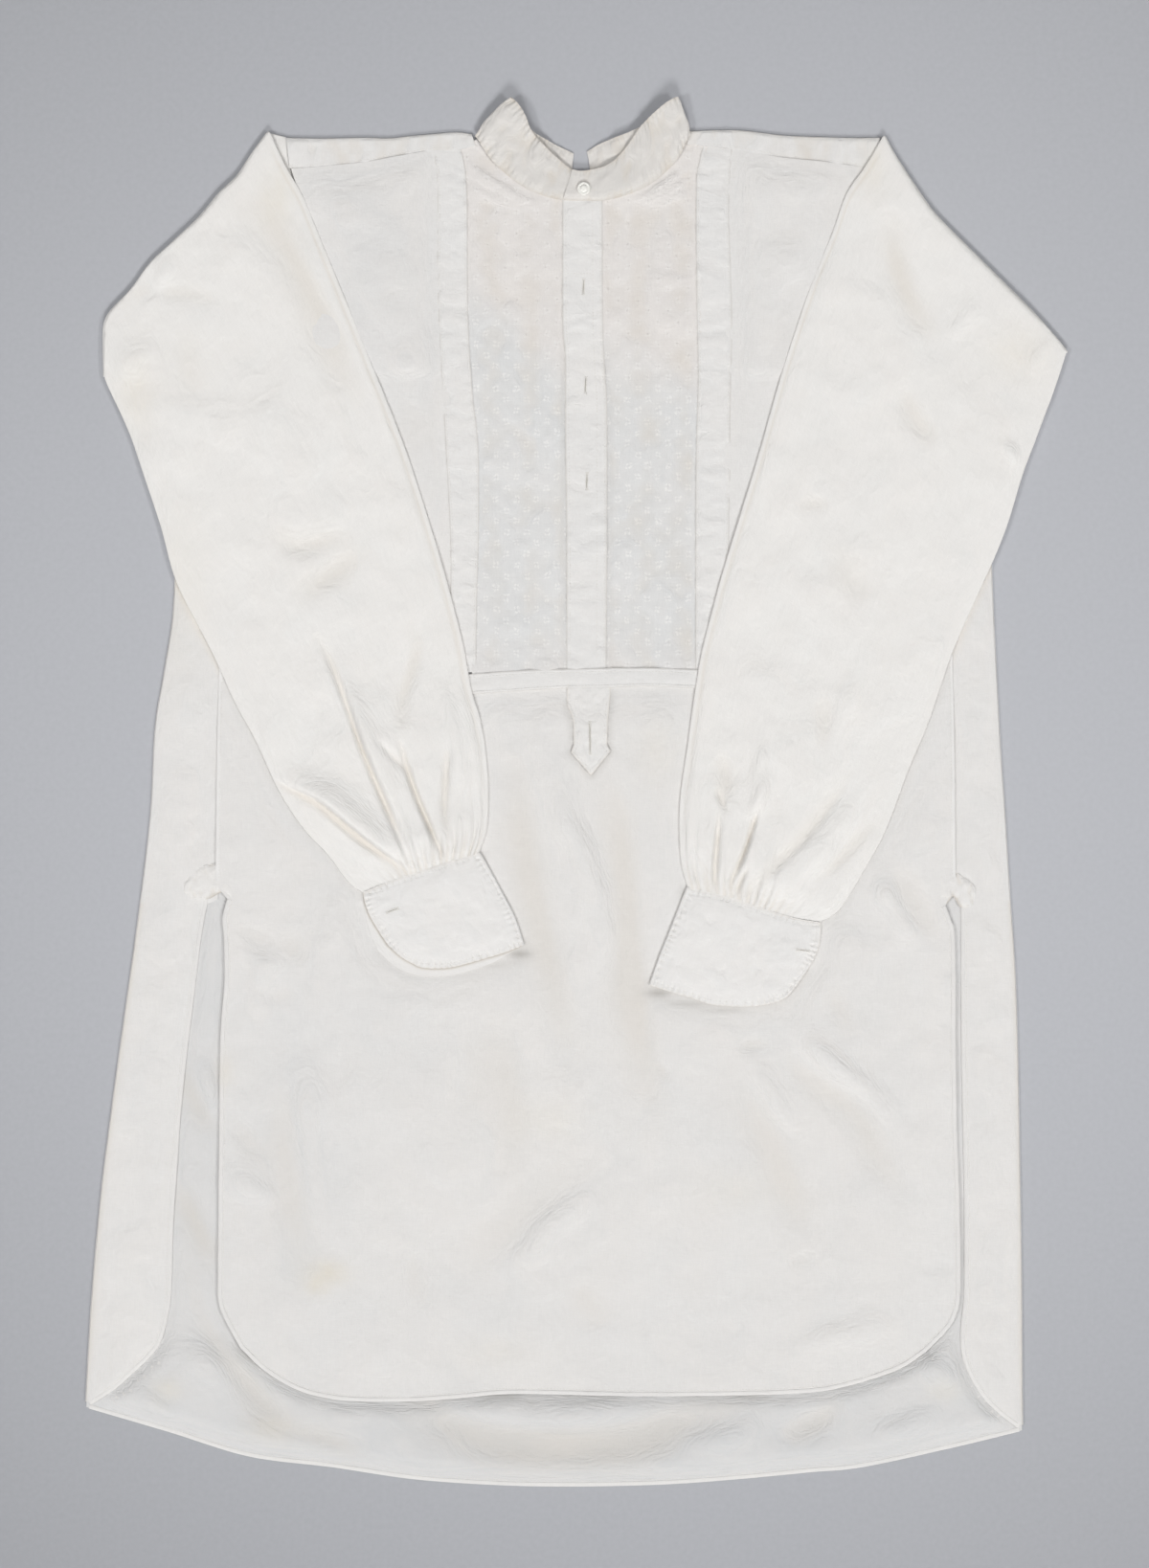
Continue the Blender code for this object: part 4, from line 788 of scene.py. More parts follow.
def threads(name, starts, ends, ups):
    """Stitches joined in one mesh, each a small pillow of thread from a start to an end."""
    width = sizes().thread / MM
    starts, ends, ups = (np.asarray(v, float) for v in (starts, ends, ups))
    run = ends - starts
    side = unit(np.cross(ups, run))
    up = unit(np.cross(run, side))
    ring = np.array([(-0.5, 0.0), (-0.28, 0.75), (0.28, 0.75), (0.5, 0.0)])
    stations = [(0.0, 0.15), (0.24, 0.9), (0.76, 0.9), (1.0, 0.15)]
    points = []
    for along, full in stations:
        for across, high in ring:
            points.append(starts + run * along + side * (across * full * width)
                          + up * (high * full * width * 0.5 - 0.05))
    points = np.stack(points, axis=1)
    faces = np.array([*grid_faces(4, 4, closed=True)[:, [0, 3, 2, 1]], (3, 2, 1, 0), (12, 13, 14, 15)])
    faces = (faces + 16 * np.arange(len(points))[:, None, None]).reshape(-1, 4).tolist()
    flat = points.reshape(-1, 3)
    return new_mesh(name, flat, faces, thread_paint(), {"grain": flat})


def sewn(name, runs, lift=0.02):
    """Running stitches along several lines, each given as points with the way up at each."""
    stitch, gap = sizes().stitch / MM, sizes().stitch_gap / MM
    starts, ends, ups = [], [], []
    for points, facing in runs:
        length = travel(points)
        first = np.arange(0.3, length[-1] - stitch, stitch + gap)
        uneven = np.array([noise.noise(Vector((s * 0.7, points[0][0], 3.0))) for s in first])
        first = first + uneven * 0.25

        def at(s, values):
            return np.stack([np.interp(s, length, c) for c in values.T], axis=-1)

        ways = unit(at(first + stitch / 2, facing))
        starts.append(at(first, points) + ways * lift)
        ends.append(at(first + stitch * (1 + 0.15 * uneven), points) + ways * lift)
        ups.append(ways)
    return threads(name, np.vstack(starts), np.vstack(ends), np.vstack(ups))


WELT_RING = [(-0.5, -0.1), (-0.47, 0.3), (-0.38, 0.5), (-0.1, 0.52), (0.2, 0.46), (0.42, 0.3), (0.5, 0.0),
             (0.42, -0.4), (0.0, -0.5), (-0.42, -0.42)]


def welt(points, facing, width, thick):
    """Rings of a narrow rolled hem or seam that lies centred on a line of points."""
    run = unit(np.gradient(points, axis=0))
    side = unit(np.cross(run, facing))
    up = unit(np.cross(side, run))
    rings = [points + side * (across * width) + up * (high * thick) for across, high in WELT_RING]
    return np.stack(rings, axis=1)


def welts(name, lines, paint, width, thick, rumple=0.12):
    """Hems or seams joined in one mesh, with closed ends."""
    points, faces, grains = [], [], []
    start = 0
    for line, facing in lines:
        rings = welt(line, facing, width, thick)
        rows, columns = rings.shape[:2]
        wobble = np.array([noise.noise(Vector(p / 5.0)) for p in line])
        rings[..., 2] += wobble[:, None] * rumple
        along, across = np.mgrid[:rows, :columns] * np.array([2.0, 0.8])[:, None, None]
        grid = grid_faces(rows, columns, closed=True)
        faces += (grid + start).tolist()
        faces.append([start + c for c in range(columns)])
        faces.append([start + (rows - 1) * columns + c for c in reversed(range(columns))])
        points.append(rings.reshape(-1, 3))
        grains.append(np.stack([across, along, 0 * along], axis=-1).reshape(-1, 3))
        start += rows * columns
    flat = np.vstack(points)
    fields = {"grain": np.vstack(grains), "stain": spread(flat[:, :2], STAINS)}
    return new_mesh(name, flat, faces, paint, fields)


def adopt(piece, slot, *nodes):
    """Fix a piece to the part and hide the solids that it stands for. The slot, the finish that it takes, is
    not used.
    """
    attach(piece, "root")
    if nodes:
        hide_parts(*nodes)


class Link:
    """One socket of a material. Sums with it add Math nodes."""

    def __init__(self, shader, socket):
        self.shader = shader
        self.socket = socket

    def maths(self, operation, *values):
        return self.shader.node("ShaderNodeMath", {"operation": operation}, dict(enumerate(values)))

    def __add__(self, other):
        return self.maths("ADD", self, other)

    def __sub__(self, other):
        return self.maths("SUBTRACT", self, other)

    def __rsub__(self, other):
        return self.maths("SUBTRACT", other, self)

    def __mul__(self, other):
        return self.maths("MULTIPLY", self, other)

    def __truediv__(self, other):
        return self.maths("DIVIDE", self, other)

    def __pow__(self, other):
        return self.maths("POWER", self, other)

    def __abs__(self):
        return self.maths("ABSOLUTE", self)

    def __mod__(self, other):
        return self.maths("FLOORED_MODULO", self, other)

    __radd__ = __add__
    __rmul__ = __mul__

    def floor(self):
        return self.maths("FLOOR", self)

    def clamped(self):
        return self.maths("MINIMUM", self.maths("MAXIMUM", self, 0.0), 1.0)


class Shader:
    """A material made of nodes."""

    def __init__(self, name):
        self.material = bpy.data.materials.new(name)
        self.material.use_nodes = True
        self.tree = self.material.node_tree
        self.tree.nodes.clear()

    def node(self, kind, settings=None, values=None, out=0):
        """A node of one kind, its settings made first, then its sockets set or linked."""
        made = self.tree.nodes.new(kind)
        for key, value in (settings or {}).items():
            setattr(made, key, value)
        for key, value in (values or {}).items():
            if isinstance(value, Link):
                self.tree.links.new(value.socket, made.inputs[key])
            else:
                made.inputs[key].default_value = value
        return Link(self, made.outputs[out])

    def field(self, name):
        """A value kept at the points of the mesh."""
        return self.node("ShaderNodeAttribute", {"attribute_name": name}, out="Fac")

    def grain(self):
        """The place in the flat cloth, in millimetres."""
        return self.node("ShaderNodeAttribute", {"attribute_name": "grain"}, out="Vector")

    def stretched(self, vector, x, y, z=1.0):
        return self.node("ShaderNodeVectorMath", {"operation": "MULTIPLY"}, {0: vector, 1: (x, y, z)})

    def add(self, first, second, third):
        both = self.node("ShaderNodeVectorMath", {"operation": "ADD"}, {0: first, 1: second})
        return self.node("ShaderNodeVectorMath", {"operation": "ADD"}, {0: both, 1: third})

    def noise(self, vector, scale, detail=2.0, roughness=0.5, out=0):
        """Smooth noise, with a scale for each axis."""
        return self.node("ShaderNodeTexNoise", {}, {
            "Vector": self.stretched(vector, *scale), "Scale": 1.0, "Detail": detail,
            "Roughness": roughness}, out)

    def mix(self, factor, first, second):
        return self.node("ShaderNodeMix", {"data_type": "RGBA"}, {0: factor, 6: first, 7: second}, out=2)

    def bump(self, height, strength):
        return self.node("ShaderNodeBump", {}, {"Height": height, "Distance": MM, "Strength": strength})

    def finish(self, sockets):
        """The material, from the values or links of its surface's sockets."""
        surface = self.node("ShaderNodeBsdfPrincipled", {}, sockets)
        output = self.tree.nodes.new("ShaderNodeOutputMaterial")
        self.tree.links.new(surface.socket, output.inputs["Surface"])
        return self.material


def shade(colour, factor):
    return (*(min(c * factor, 1.0) for c in colour), 1.0)


PAINTS = {}


def cotton(name, colour, cord=1.0, voile=None):
    """Fine cotton: warp and weft, a soft crumple, faint yellow stains, broad greyer areas partly painted
    shade, painted warm shade in fold depths and along edges, and painted contact shadow.
    """
    if name in PAINTS:
        return PAINTS[name]
    shader = Shader(name)
    grain = shader.grain()
    fine = shader.noise(grain, (1.5, 0.16), 1.0)
    broad = shader.noise(grain, (0.4, 0.05), 1.0)
    weft = shader.noise(grain, (0.15, 1.4), 1.0)
    cloud = shader.noise(grain, (0.013, 0.013), 3.0)
    crumple = shader.noise(grain, (0.11, 0.09), 3.0, 0.55)
    tone = (fine * 0.42 + broad * 0.23 + weft * 0.35 - 0.5) * 2.0 * cord + 0.5
    tone = (tone + (cloud - 0.5) * 0.9).clamped()
    base = shader.mix(tone, shade(colour, 0.955), shade(colour, 1.03))
    if voile:
        base = voile(shader, grain, tone)
    # Greyer where the cloth lies as a thin single layer, and painted shade over broad areas
    base = shader.mix(shader.field("veil") * 0.5, base, (0.62, 0.625, 0.63, 1.0))
    drift = (shader.noise(grain, (0.02, 0.014), 2.0) * 2.4 - 0.75).clamped()
    base = shader.mix(drift * 0.22, base, (0.83, 0.78, 0.735, 1.0))
    # Painted warm shade in the depths of folds and along edges and seams
    base = shader.mix(shader.field("warm").clamped() * 0.5, base, (*colours().crease, 1.0))
    stain = shader.field("stain") * (0.35 + 0.9 * shader.noise(grain, (0.12, 0.12), 3.0))
    base = shader.mix(stain.clamped() * 0.55, base, (*colours().stain, 1.0))
    # Painted shadow, darker and greyer, under edges and where pieces overlap
    base = shader.mix(shader.field("shade").clamped() * 0.75, base, (0.30, 0.28, 0.25, 1.0))
    crisp = shader.noise(grain, (0.045, 0.036), 2.0)
    sharp = shader.noise(grain, (0.13, 0.1), 2.0)
    relief = fine * 0.09 * cord + weft * 0.08 * cord + crumple * 0.5
    relief = relief - abs(crisp - 0.5) * 1.2 - abs(sharp - 0.5) * 0.38
    PAINTS[name] = shader.finish({
        "Base Color": base, "Roughness": 0.82 + 0.1 * fine, "Normal": shader.bump(relief, 0.9),
        "Specular IOR Level": 0.25, "Sheen Weight": 0.06, "Sheen Roughness": 0.5})
    return PAINTS[name]


SPRIG_ACROSS = 7.6
SPRIG_ALONG = 16.6


def sprigged(shader, grain, tone):
    """Voile with small woven sprigs in a half-drop repeat, warmer near the neck."""
    warm = shader.field("tint")
    low = shader.mix(tone, shade(colours().voile, 0.94), shade(colours().voile, 1.03))
    high = shader.mix(tone, shade(colours().voile_warm, 0.95), shade(colours().voile_warm, 1.03))
    ground = shader.mix(warm, low, high)
    wander = shader.noise(grain, (0.16, 0.16), 1.0, out="Color")
    jitter = shader.noise(grain, (0.9, 0.9), 0.0, out="Color")
    moved = shader.add(grain, shader.stretched(wander, 5.0, 5.0), shader.stretched(jitter, 1.5, 1.5))
    x = shader.node("ShaderNodeSeparateXYZ", {}, {0: moved}, out=0)
    y = shader.node("ShaderNodeSeparateXYZ", {}, {0: moved}, out=1)
    column = (x / SPRIG_ACROSS).floor()
    across = abs(x / SPRIG_ACROSS - column - 0.5) * SPRIG_ACROSS
    step = y / SPRIG_ALONG + (column % 2.0) * 0.5
    along = abs(step - step.floor() - 0.5) * SPRIG_ALONG
    petal = ((across - 1.2) ** 2.0 + (along - 1.5) ** 2.0) ** 0.5
    heart = (across ** 2.0 + along ** 2.0) ** 0.5
    white = (1.7 - petal * 1.4).clamped()
    dark = (1.2 - heart * 1.5).clamped()
    ground = shader.mix(white * (0.6 - warm * 0.3), ground, (0.88, 0.87, 0.85, 1.0))
    return shader.mix(dark * (0.25 + warm * 0.3), ground, (0.50, 0.48, 0.46, 1.0))


def plain(name, colour, roughness):
    """Thread, or the shaded inside of a slit: one colour with a fine fibre to it."""
    if name in PAINTS:
        return PAINTS[name]
    shader = Shader(name)
    grain = shader.grain()
    fibre = shader.noise(grain, (1.7, 1.7, 1.7), 2.0)
    base = shader.mix(fibre, shade(colour, 0.92), shade(colour, 1.08))
    PAINTS[name] = shader.finish({
        "Base Color": base, "Roughness": roughness + 0.05 * fibre, "Normal": shader.bump(fibre * 0.05, 0.6),
        "Specular IOR Level": 0.25})
    return PAINTS[name]


def body_cotton():
    return cotton("body_cotton_weave", colours().body)


def sleeve_cotton():
    return cotton("sleeve_cotton_weave", colours().sleeve)


def band_cotton():
    return cotton("band_cotton_weave", colours().band, 0.8)


def neck_cotton():
    return cotton("neckband_cotton_weave", colours().neck, 0.8)


def cuff_cotton():
    return cotton("cuff_cotton_weave", colours().cuff, 0.8)


def bosom_voile():
    return cotton("bosom_voile_weave", colours().voile, 1.0, sprigged)


def thread_paint():
    return plain("sewing_thread", colours().thread, 0.75)


def slit_shadow_paint():
    return plain("buttonhole_slit", colours().slit, 0.9)


def pearl_paint():
    """Mother of pearl: pale, polished, with drifting pink and green."""
    shader = Shader("pearl_shell")
    grain = shader.grain()
    drift = shader.noise(grain, (0.5, 0.3, 0.4), 3.0)
    layer = shader.noise(grain, (0.2, 2.4, 1.0), 1.0)
    pink = shader.mix(drift, (0.83, 0.77, 0.74, 1.0), (0.74, 0.80, 0.76, 1.0))
    base = shader.mix(layer, pink, shade(colours().pearl, 1.08))
    return shader.finish({
        "Base Color": base, "Roughness": 0.2 + 0.1 * drift, "Normal": shader.bump(layer * 0.04, 0.4),
        "Coat Weight": 0.4, "Coat Roughness": 0.12})


def table_paint():
    """Grey paper with a soft drift in tone, and painted light: darker toward the corners and brighter toward
    the right and the top.
    """
    shader = Shader("table_paper")
    place = shader.node("ShaderNodeTexCoord", {}, {}, out="Object")
    fine = shader.noise(place, (260.0, 260.0), 2.0)
    wide = shader.noise(place, (0.9, 0.9), 1.0)
    x = shader.node("ShaderNodeSeparateXYZ", {}, {0: place}, out=0)
    y = shader.node("ShaderNodeSeparateXYZ", {}, {0: place}, out=1)
    # Painted light: the paper darkens toward the corners and grows brighter toward the right and the top
    corner = (x * x * 2.3 + y * y * 2.4) * 0.5
    light = (0.77 - corner + y * 0.18 + x * 0.2 + (wide - 0.5) * 0.3 + (fine - 0.5) * 0.25).clamped()
    base = shader.mix(light, shade(colours().table, 0.72), shade(colours().table, 1.08))
    return shader.finish({"Base Color": base, "Roughness": 0.9, "Specular IOR Level": 0.2})


def aim_lamp(name, light, place):
    """A lamp that points at the middle of the table."""
    lamp = placed(name, light, place)
    lamp.rotation_euler = (-Vector(place)).to_track_quat("-Z", "Y").to_euler()


def stage():
    """Table, camera and soft studio light."""
    scene = bpy.context.scene
    settings = scene.tunic_stage
    scene.view_settings.view_transform = "Standard"
    size, low = 6.0, -0.0002
    corners = [(-size, -size, low), (size, -size, low), (size, size, low), (-size, size, low)]
    table = bpy.data.meshes.new("table")
    table.from_pydata(corners, [], [(0, 1, 2, 3)])
    table.materials.append(table_paint())
    floor = placed("table", table)
    camera = bpy.data.cameras.new("camera")
    camera.lens = settings.lens
    camera.sensor_width = 36.0
    camera.clip_start = 0.1
    camera.clip_end = 20.0
    scene.camera = placed("camera", camera, (CAMERA_X * MM, CAMERA_Y * MM, settings.height))
    lights = (
        ("key_light_left", (-1.9, -0.7, 2.5), 0.6, 0.6, settings.key),
        ("key_light_right", (1.9, -0.7, 2.5), 0.6, 0.6, settings.key),
        ("overhead_light", (0.0, 1.1, 2.9), 2.2, 2.0, settings.fill),
    )
    for name, place, wide, deep, power in lights:
        light = bpy.data.lights.new(name, "AREA")
        light.shape = "RECTANGLE"
        light.size, light.size_y = wide, deep
        light.energy = power
        aim_lamp(name, light, place)
    far = bpy.data.lights.new("low_light", "SUN")
    far.energy = settings.low
    far.angle = settings.softness
    aim_lamp("low_light", far, (0.25, -2.9, 2.1))
    world = bpy.data.worlds.new("room")
    world.use_nodes = True
    background = world.node_tree.nodes["Background"].inputs
    background["Color"].default_value = (0.97, 0.98, 1.0, 1.0)
    background["Strength"].default_value = settings.sky
    scene.world = world


def half_turn(count, first=True, last=True):
    """Half turn from the lower layer to the upper one: outward and upward parts of a unit circle."""
    angles = np.pi * np.arange(0 if first else 1, count + 1 if last else count) / count
    return np.sin(angles), -np.cos(angles)


def fades_in(xy, outline, reach):
    """1 inside an outline, fading to 0 within a reach outside it."""
    near = around(xy, outline, reach)
    value = np.zeros(len(xy))
    if near.any():
        distance = nearest(xy[near], closed_line(outline))[0]
        value[near] = np.where(inside(xy[near], outline), 1.0, 1 - smooth(distance / reach))
    return value


def front_edge(step):
    """The free edge of the front: down one vent, round the tail and up the other vent."""
    return join(even(VENT_FRONT_LEFT, step), even(FRONT_HEM, step), even(VENT_FRONT_RIGHT, step)[::-1])


def covers():
    """Outlines of what lies on the back: the front, and the flaps at its sides."""
    flaps = [join(even(fold, 12), even(vent, 8)[::-1], even(seam, 12)[::-1])
             for fold, vent, seam in ((SIDE_FOLD_LEFT, VENT_BACK_LEFT, SIDE_SEAM_LEFT),
                                      (SIDE_FOLD_RIGHT, VENT_BACK_RIGHT, SIDE_SEAM_RIGHT))]
    return [join(even(SIDE_SEAM_LEFT, 12), front_edge(8), even(SIDE_SEAM_RIGHT, 12)[::-1]), *flaps]


def bosom_outline():
    return join(even(BAND_OUTER_LEFT, 12), even(WAIST_FOOT, 12), even(BAND_OUTER_RIGHT, 12)[::-1])


def back_relief(xy):
    """Folds of the back, lower where the front lies on them, and how deep each point lies in one, which sets
    the painted warm shade in the fold.
    """
    free = 1 - np.max([fades_in(xy, cover, 8) for cover in covers()], axis=0)
    under_bosom = fades_in(xy, bosom_outline(), 14)
    folds = BACK_STRENGTH * folded(xy, BACK_FOLDS)
    waves = rumpled(xy, ((46, 1.5), (19, 0.7), (8, 0.2)), 2.0) + creased(xy, ((34, 0.25), (13, 0.1)), 3.0)
    inset = smooth(away_from(xy, BACK_HEM, 20) / 16)
    loft = 0.8 + 4.2 * free * smooth((-400 - xy[:, 1]) / 30)
    height = kept_above(folds + waves + loft * inset, 0, 3.0) * (0.3 + 0.7 * free) * (1 - 0.8 * under_bosom)
    return height * (0.25 + 0.75 * inset), np.clip(-folds / 10, 0, 0.5)


def back():
    """The back panel, whose sides wrap round to the front and hang free below the vents."""
    thick = sizes().cloth / MM
    folds = (Path(SIDE_FOLD_LEFT), Path(SIDE_FOLD_RIGHT))
    seams = (Path(SIDE_SEAM_LEFT), Path(SIDE_SEAM_RIGHT))
    vents = (Path(VENT_BACK_LEFT), Path(VENT_BACK_RIGHT))
    arms = (Path(ARMHOLE_LEFT), Path(ARMHOLE_RIGHT))
    hem = Path(BACK_HEM)
    top = Path(BACK_YOKE_SEAM)
    underarm = ARMHOLE_LEFT[-1][1]
    flap = np.linspace(0, 1, 15)
    out, up = half_turn(6)
    middle = np.linspace(0, 1, 141)[1:-1]
    side_columns = len(flap) - 1 + len(out)
    rows = []
    for h in np.linspace(0, 1, 30, endpoint=False):
        y = top.line[0][1] + (underarm - top.line[0][1]) * h
        ends = [arms[side].across(y) for side in (0, 1)]
        x = ends[0] + (ends[1] - ends[0]) * middle
        ys = y + (top.across(x, 0, 1) - y) * (1 - smooth(h / 0.2))
        edge = [np.tile((ends[side], y, BACK_Z, 0.0), (side_columns, 1)) for side in (0, 1)]
        rows.append(np.vstack([edge[0], np.column_stack([x, ys, np.full_like(x, BACK_Z), 0 * x]), edge[1]]))
    upper = len(rows)
    zones = [("side", t) for t in np.linspace(0, 1, 72)] + [("tail", t) for t in np.linspace(0, 1, 92)[1:]]
    for zone, t in zones:
        sides = []
        for side in (0, 1):
            inward = 1 if side == 0 else -1
            hem_y = hem.at(float(side))[1]
            y = underarm + (VENT_TOP - underarm) * t if zone == "side" else VENT_TOP + (hem_y - VENT_TOP) * t
            edge = seams[side] if zone == "side" else vents[side]
            centre = folds[side].across(y) + inward * (thick / 2 + SIDE_TURN)
            near_arm = 1 - smooth(t / 0.3) if zone == "side" else 0.0
            x = centre + (edge.across(y) - centre) * flap
            lift = (arms[side].across(x, 0, 1) - 1 - underarm) * near_arm
            x = centre + (edge.across(y + lift) - centre) * flap
            on_flap = np.column_stack([x, y + lift, np.full_like(x, FRONT_Z), flap])[::-1][:-1]
            turned = np.column_stack([centre - inward * SIDE_TURN * out, np.full_like(out, y),
                                      BACK_Z + SIDE_TURN * (1 + up), 0 * out])[::-1]
            sides.append(np.vstack([on_flap, turned]))
        x0, y0 = sides[0][-1][:2]
        x1, y1 = sides[1][-1][:2]
        x = x0 + (x1 - x0) * middle
        y = y0 + (y1 - y0) * middle
        if zone == "tail":
            y = VENT_TOP + (hem.across(x, 0, 1) - VENT_TOP) * t
        flat = np.column_stack([x, y, np.full_like(x, BACK_Z), np.zeros_like(x)])
        rows.append(np.vstack([sides[0], flat, sides[1][::-1]]))
    grid = np.stack(rows)
    keep = np.zeros((grid.shape[0] - 1, grid.shape[1] - 1), bool)
    keep[:, side_columns - 1:side_columns + len(middle)] = True
    keep[upper:-1, :] = True
    points = grid[..., :3].reshape(-1, 3)
    on_top = points[:, 2] > FRONT_Z - 0.1
    flat_part = points[:, 2] < BACK_Z + 0.01
    xy = points[:, :2]
    warm = np.zeros(len(points))
    relief, warm[flat_part] = back_relief(xy[flat_part])
    points[flat_part, 2] += relief
    across = grid[..., 3].ravel()
    puff = np.sin(np.pi * np.clip(across, 0, 1)) ** 0.7
    points[on_top, 2] += (1.2 * puff + rumpled(xy, ((40, 1.2), (16, 0.7), (8, 0.35)), 5.0) * puff)[on_top]
    # The inside of the back is greyer as a thin single layer; the broad areas add painted shade
    veil = np.where(flat_part, 1.0, 0.0) + spread(xy, GREY_AREAS)
    # Painted shadow under the front hem, in patches, and faint painted shade along the vents
    patchy = np.clip(0.15 + 1.5 * rumpled(xy, ((38, 1.0),), 61.0), 0.04, 0.55)
    shade = bell(away_from(xy, FRONT_HEM, 6) / 3.6) * patchy
    for vent in (VENT_FRONT_LEFT, VENT_FRONT_RIGHT, VENT_BACK_LEFT, VENT_BACK_RIGHT):
        shade = np.maximum(shade, 0.07 * bell(away_from(xy, vent, 6) / 3.4))
    shade = np.where(flat_part, shade, 0)
    # Painted warm shade along the side folds below the vent heads, and beside the sleeves' outer edges
    warm = np.maximum(warm, bell(across / 0.05) * on_top * (xy[:, 1] < VENT_TOP) * 0.5)
    for edge in (SLEEVE_OUTER_LEFT, SLEEVE_OUTER_RIGHT):
        warm = np.maximum(warm, 0.55 * on_top * bell(away_from(xy, edge, 6) / 3.2))
    grain = np.column_stack([np.where(on_top, -xy[:, 0], xy[:, 0]), xy[:, 1]])
    faces = grid_faces(*grid.shape[:2], keep=keep)
    piece = shell("back_cloth", points, faces, thick, body_cotton(), grain, ("veil", "shade"), warm=warm,
                  veil=veil, shade=shade)
    adopt(piece, "body_cotton", "back")


def front_outline():
    """The cut edge of the front: down its left side, up its right, and round the bosom's notch."""
    arm_left, arm_right = Path(ARMHOLE_LEFT), Path(ARMHOLE_RIGHT)
    seam_left, seam_right = Path(SIDE_SEAM_LEFT), Path(SIDE_SEAM_RIGHT)
    down_arm = [(arm_left.across(y) + 1, y) for y in np.linspace(YOKE_SEAM_LEFT[0][1], 312, 40)]
    down = [(seam_left.across(y), y) for y in np.linspace(305, VENT_TOP + 9, 80)]
    rise = [(seam_right.across(y), y) for y in np.linspace(VENT_TOP + 9, 305, 80)]
    up_arm = [(arm_right.across(y) - 1, y) for y in np.linspace(312, YOKE_SEAM_RIGHT[-1][1], 40)]
    yoke_right = [p for p in even(YOKE_SEAM_RIGHT, 3)[::-1] if p[0] > 108]
    notch_right = even(shifted(BAND_OUTER_RIGHT, -5), 4)[2:-1]
    waist = even(WAIST_FOOT, 4)[::-1][1:-1] + (0, 5)
    notch_left = even(shifted(BAND_OUTER_LEFT, 5), 4)[::-1][1:-2]
    yoke_left = [p for p in even(YOKE_SEAM_LEFT, 3)[::-1] if p[0] < -100]
    return join(down_arm, down, front_edge(3), rise, up_arm, yoke_right, notch_right, waist, notch_left,
                yoke_left)


def sleeve_outlines():
    """Outlines of the two sleeves with their cuffs, as they lie on the front."""
    return [join(outer, free, edge[::-1], fold[::-1], inner[::-1]) for outer, free, edge, fold, inner in (
        (SLEEVE_OUTER_LEFT, CUFF_UNDER_FREE_LEFT, CUFF_UNDER_EDGE_LEFT, CUFF_FOLD_LEFT, SLEEVE_INNER_LEFT),
        (SLEEVE_OUTER_RIGHT, CUFF_FREE_RIGHT, CUFF_EDGE_RIGHT, CUFF_FOLD_RIGHT, SLEEVE_INNER_RIGHT))]


def front_relief(xy):
    """Folds of the front, low where the sleeves and cuffs lie on them, and how deep each point lies, which
    sets the painted warm shade in the fold.
    """
    arms = np.max([fades_in(xy, outline, 24) for outline in sleeve_outlines()], axis=0)
    folds = FRONT_STRENGTH * folded(xy, FRONT_FOLDS)
    waves = rumpled(xy, ((52, 1.5), (21, 0.7), (9, 0.25)), 7.0) + creased(xy, ((38, 0.3), (14, 0.14)), 9.0)
    sewn_down = fades_in(xy, bosom_outline(), 28)
    yoke_line = np.vstack([YOKE_SEAM_LEFT, YOKE_SEAM_RIGHT])
    sewn_down = np.maximum(sewn_down, 1 - smooth(nearest(xy, yoke_line)[0] / 28))
    height = kept_above(folds + waves + 1.0, -0.1, 2.0) * (1 - 0.85 * arms) * (1 - 0.9 * sewn_down)
    return height + back_relief(xy)[0] * (1 - 0.5 * sewn_down), np.clip(-folds / 14, 0, 0.42)


def front():
    """The front panel, notched for the bosom, with side vents and a rounded tail."""
    thick = sizes().cloth / MM
    xy, faces = cut(front_outline(), sizes().mesh / MM)
    relief, warm = front_relief(xy)
    points = np.column_stack([xy, FRONT_Z + relief])
    tab = np.array(TAB[1:-1], float)
    cuffs = [even(line, 4) for line in (CUFF_UNDER_EDGE_LEFT, CUFF_EDGE_RIGHT)]
    sleeves = [even(line, 8) for line in (SLEEVE_OUTER_LEFT, SLEEVE_OUTER_RIGHT)]
    # Painted shadow round the tab, beside the cuffs' lower edges and the sleeves' outer edges, and under the
    # cuffs' raised corners
    shade = np.zeros(len(xy))
    for lines, reach, strength in (([tab], 3.0, 0.4), (cuffs, 4.0, 0.2), (sleeves, 3.2, 0.22)):
        for line in lines:
            near = around(xy, line, 9)
            contact = strength * bell(nearest(xy[near], line)[0] / reach)
            shade[near] = np.maximum(shade[near], contact)
    shade = np.maximum(shade, spread(xy, UNDER_CUFFS))
    # Broad greyer areas, partly painted shade
    veil = spread(xy, GREY_AREAS)
    piece = shell("front_cloth", points, faces, thick, body_cotton(), warm=warm, shade=shade, veil=veil)
    adopt(piece, "body_cotton", "front")


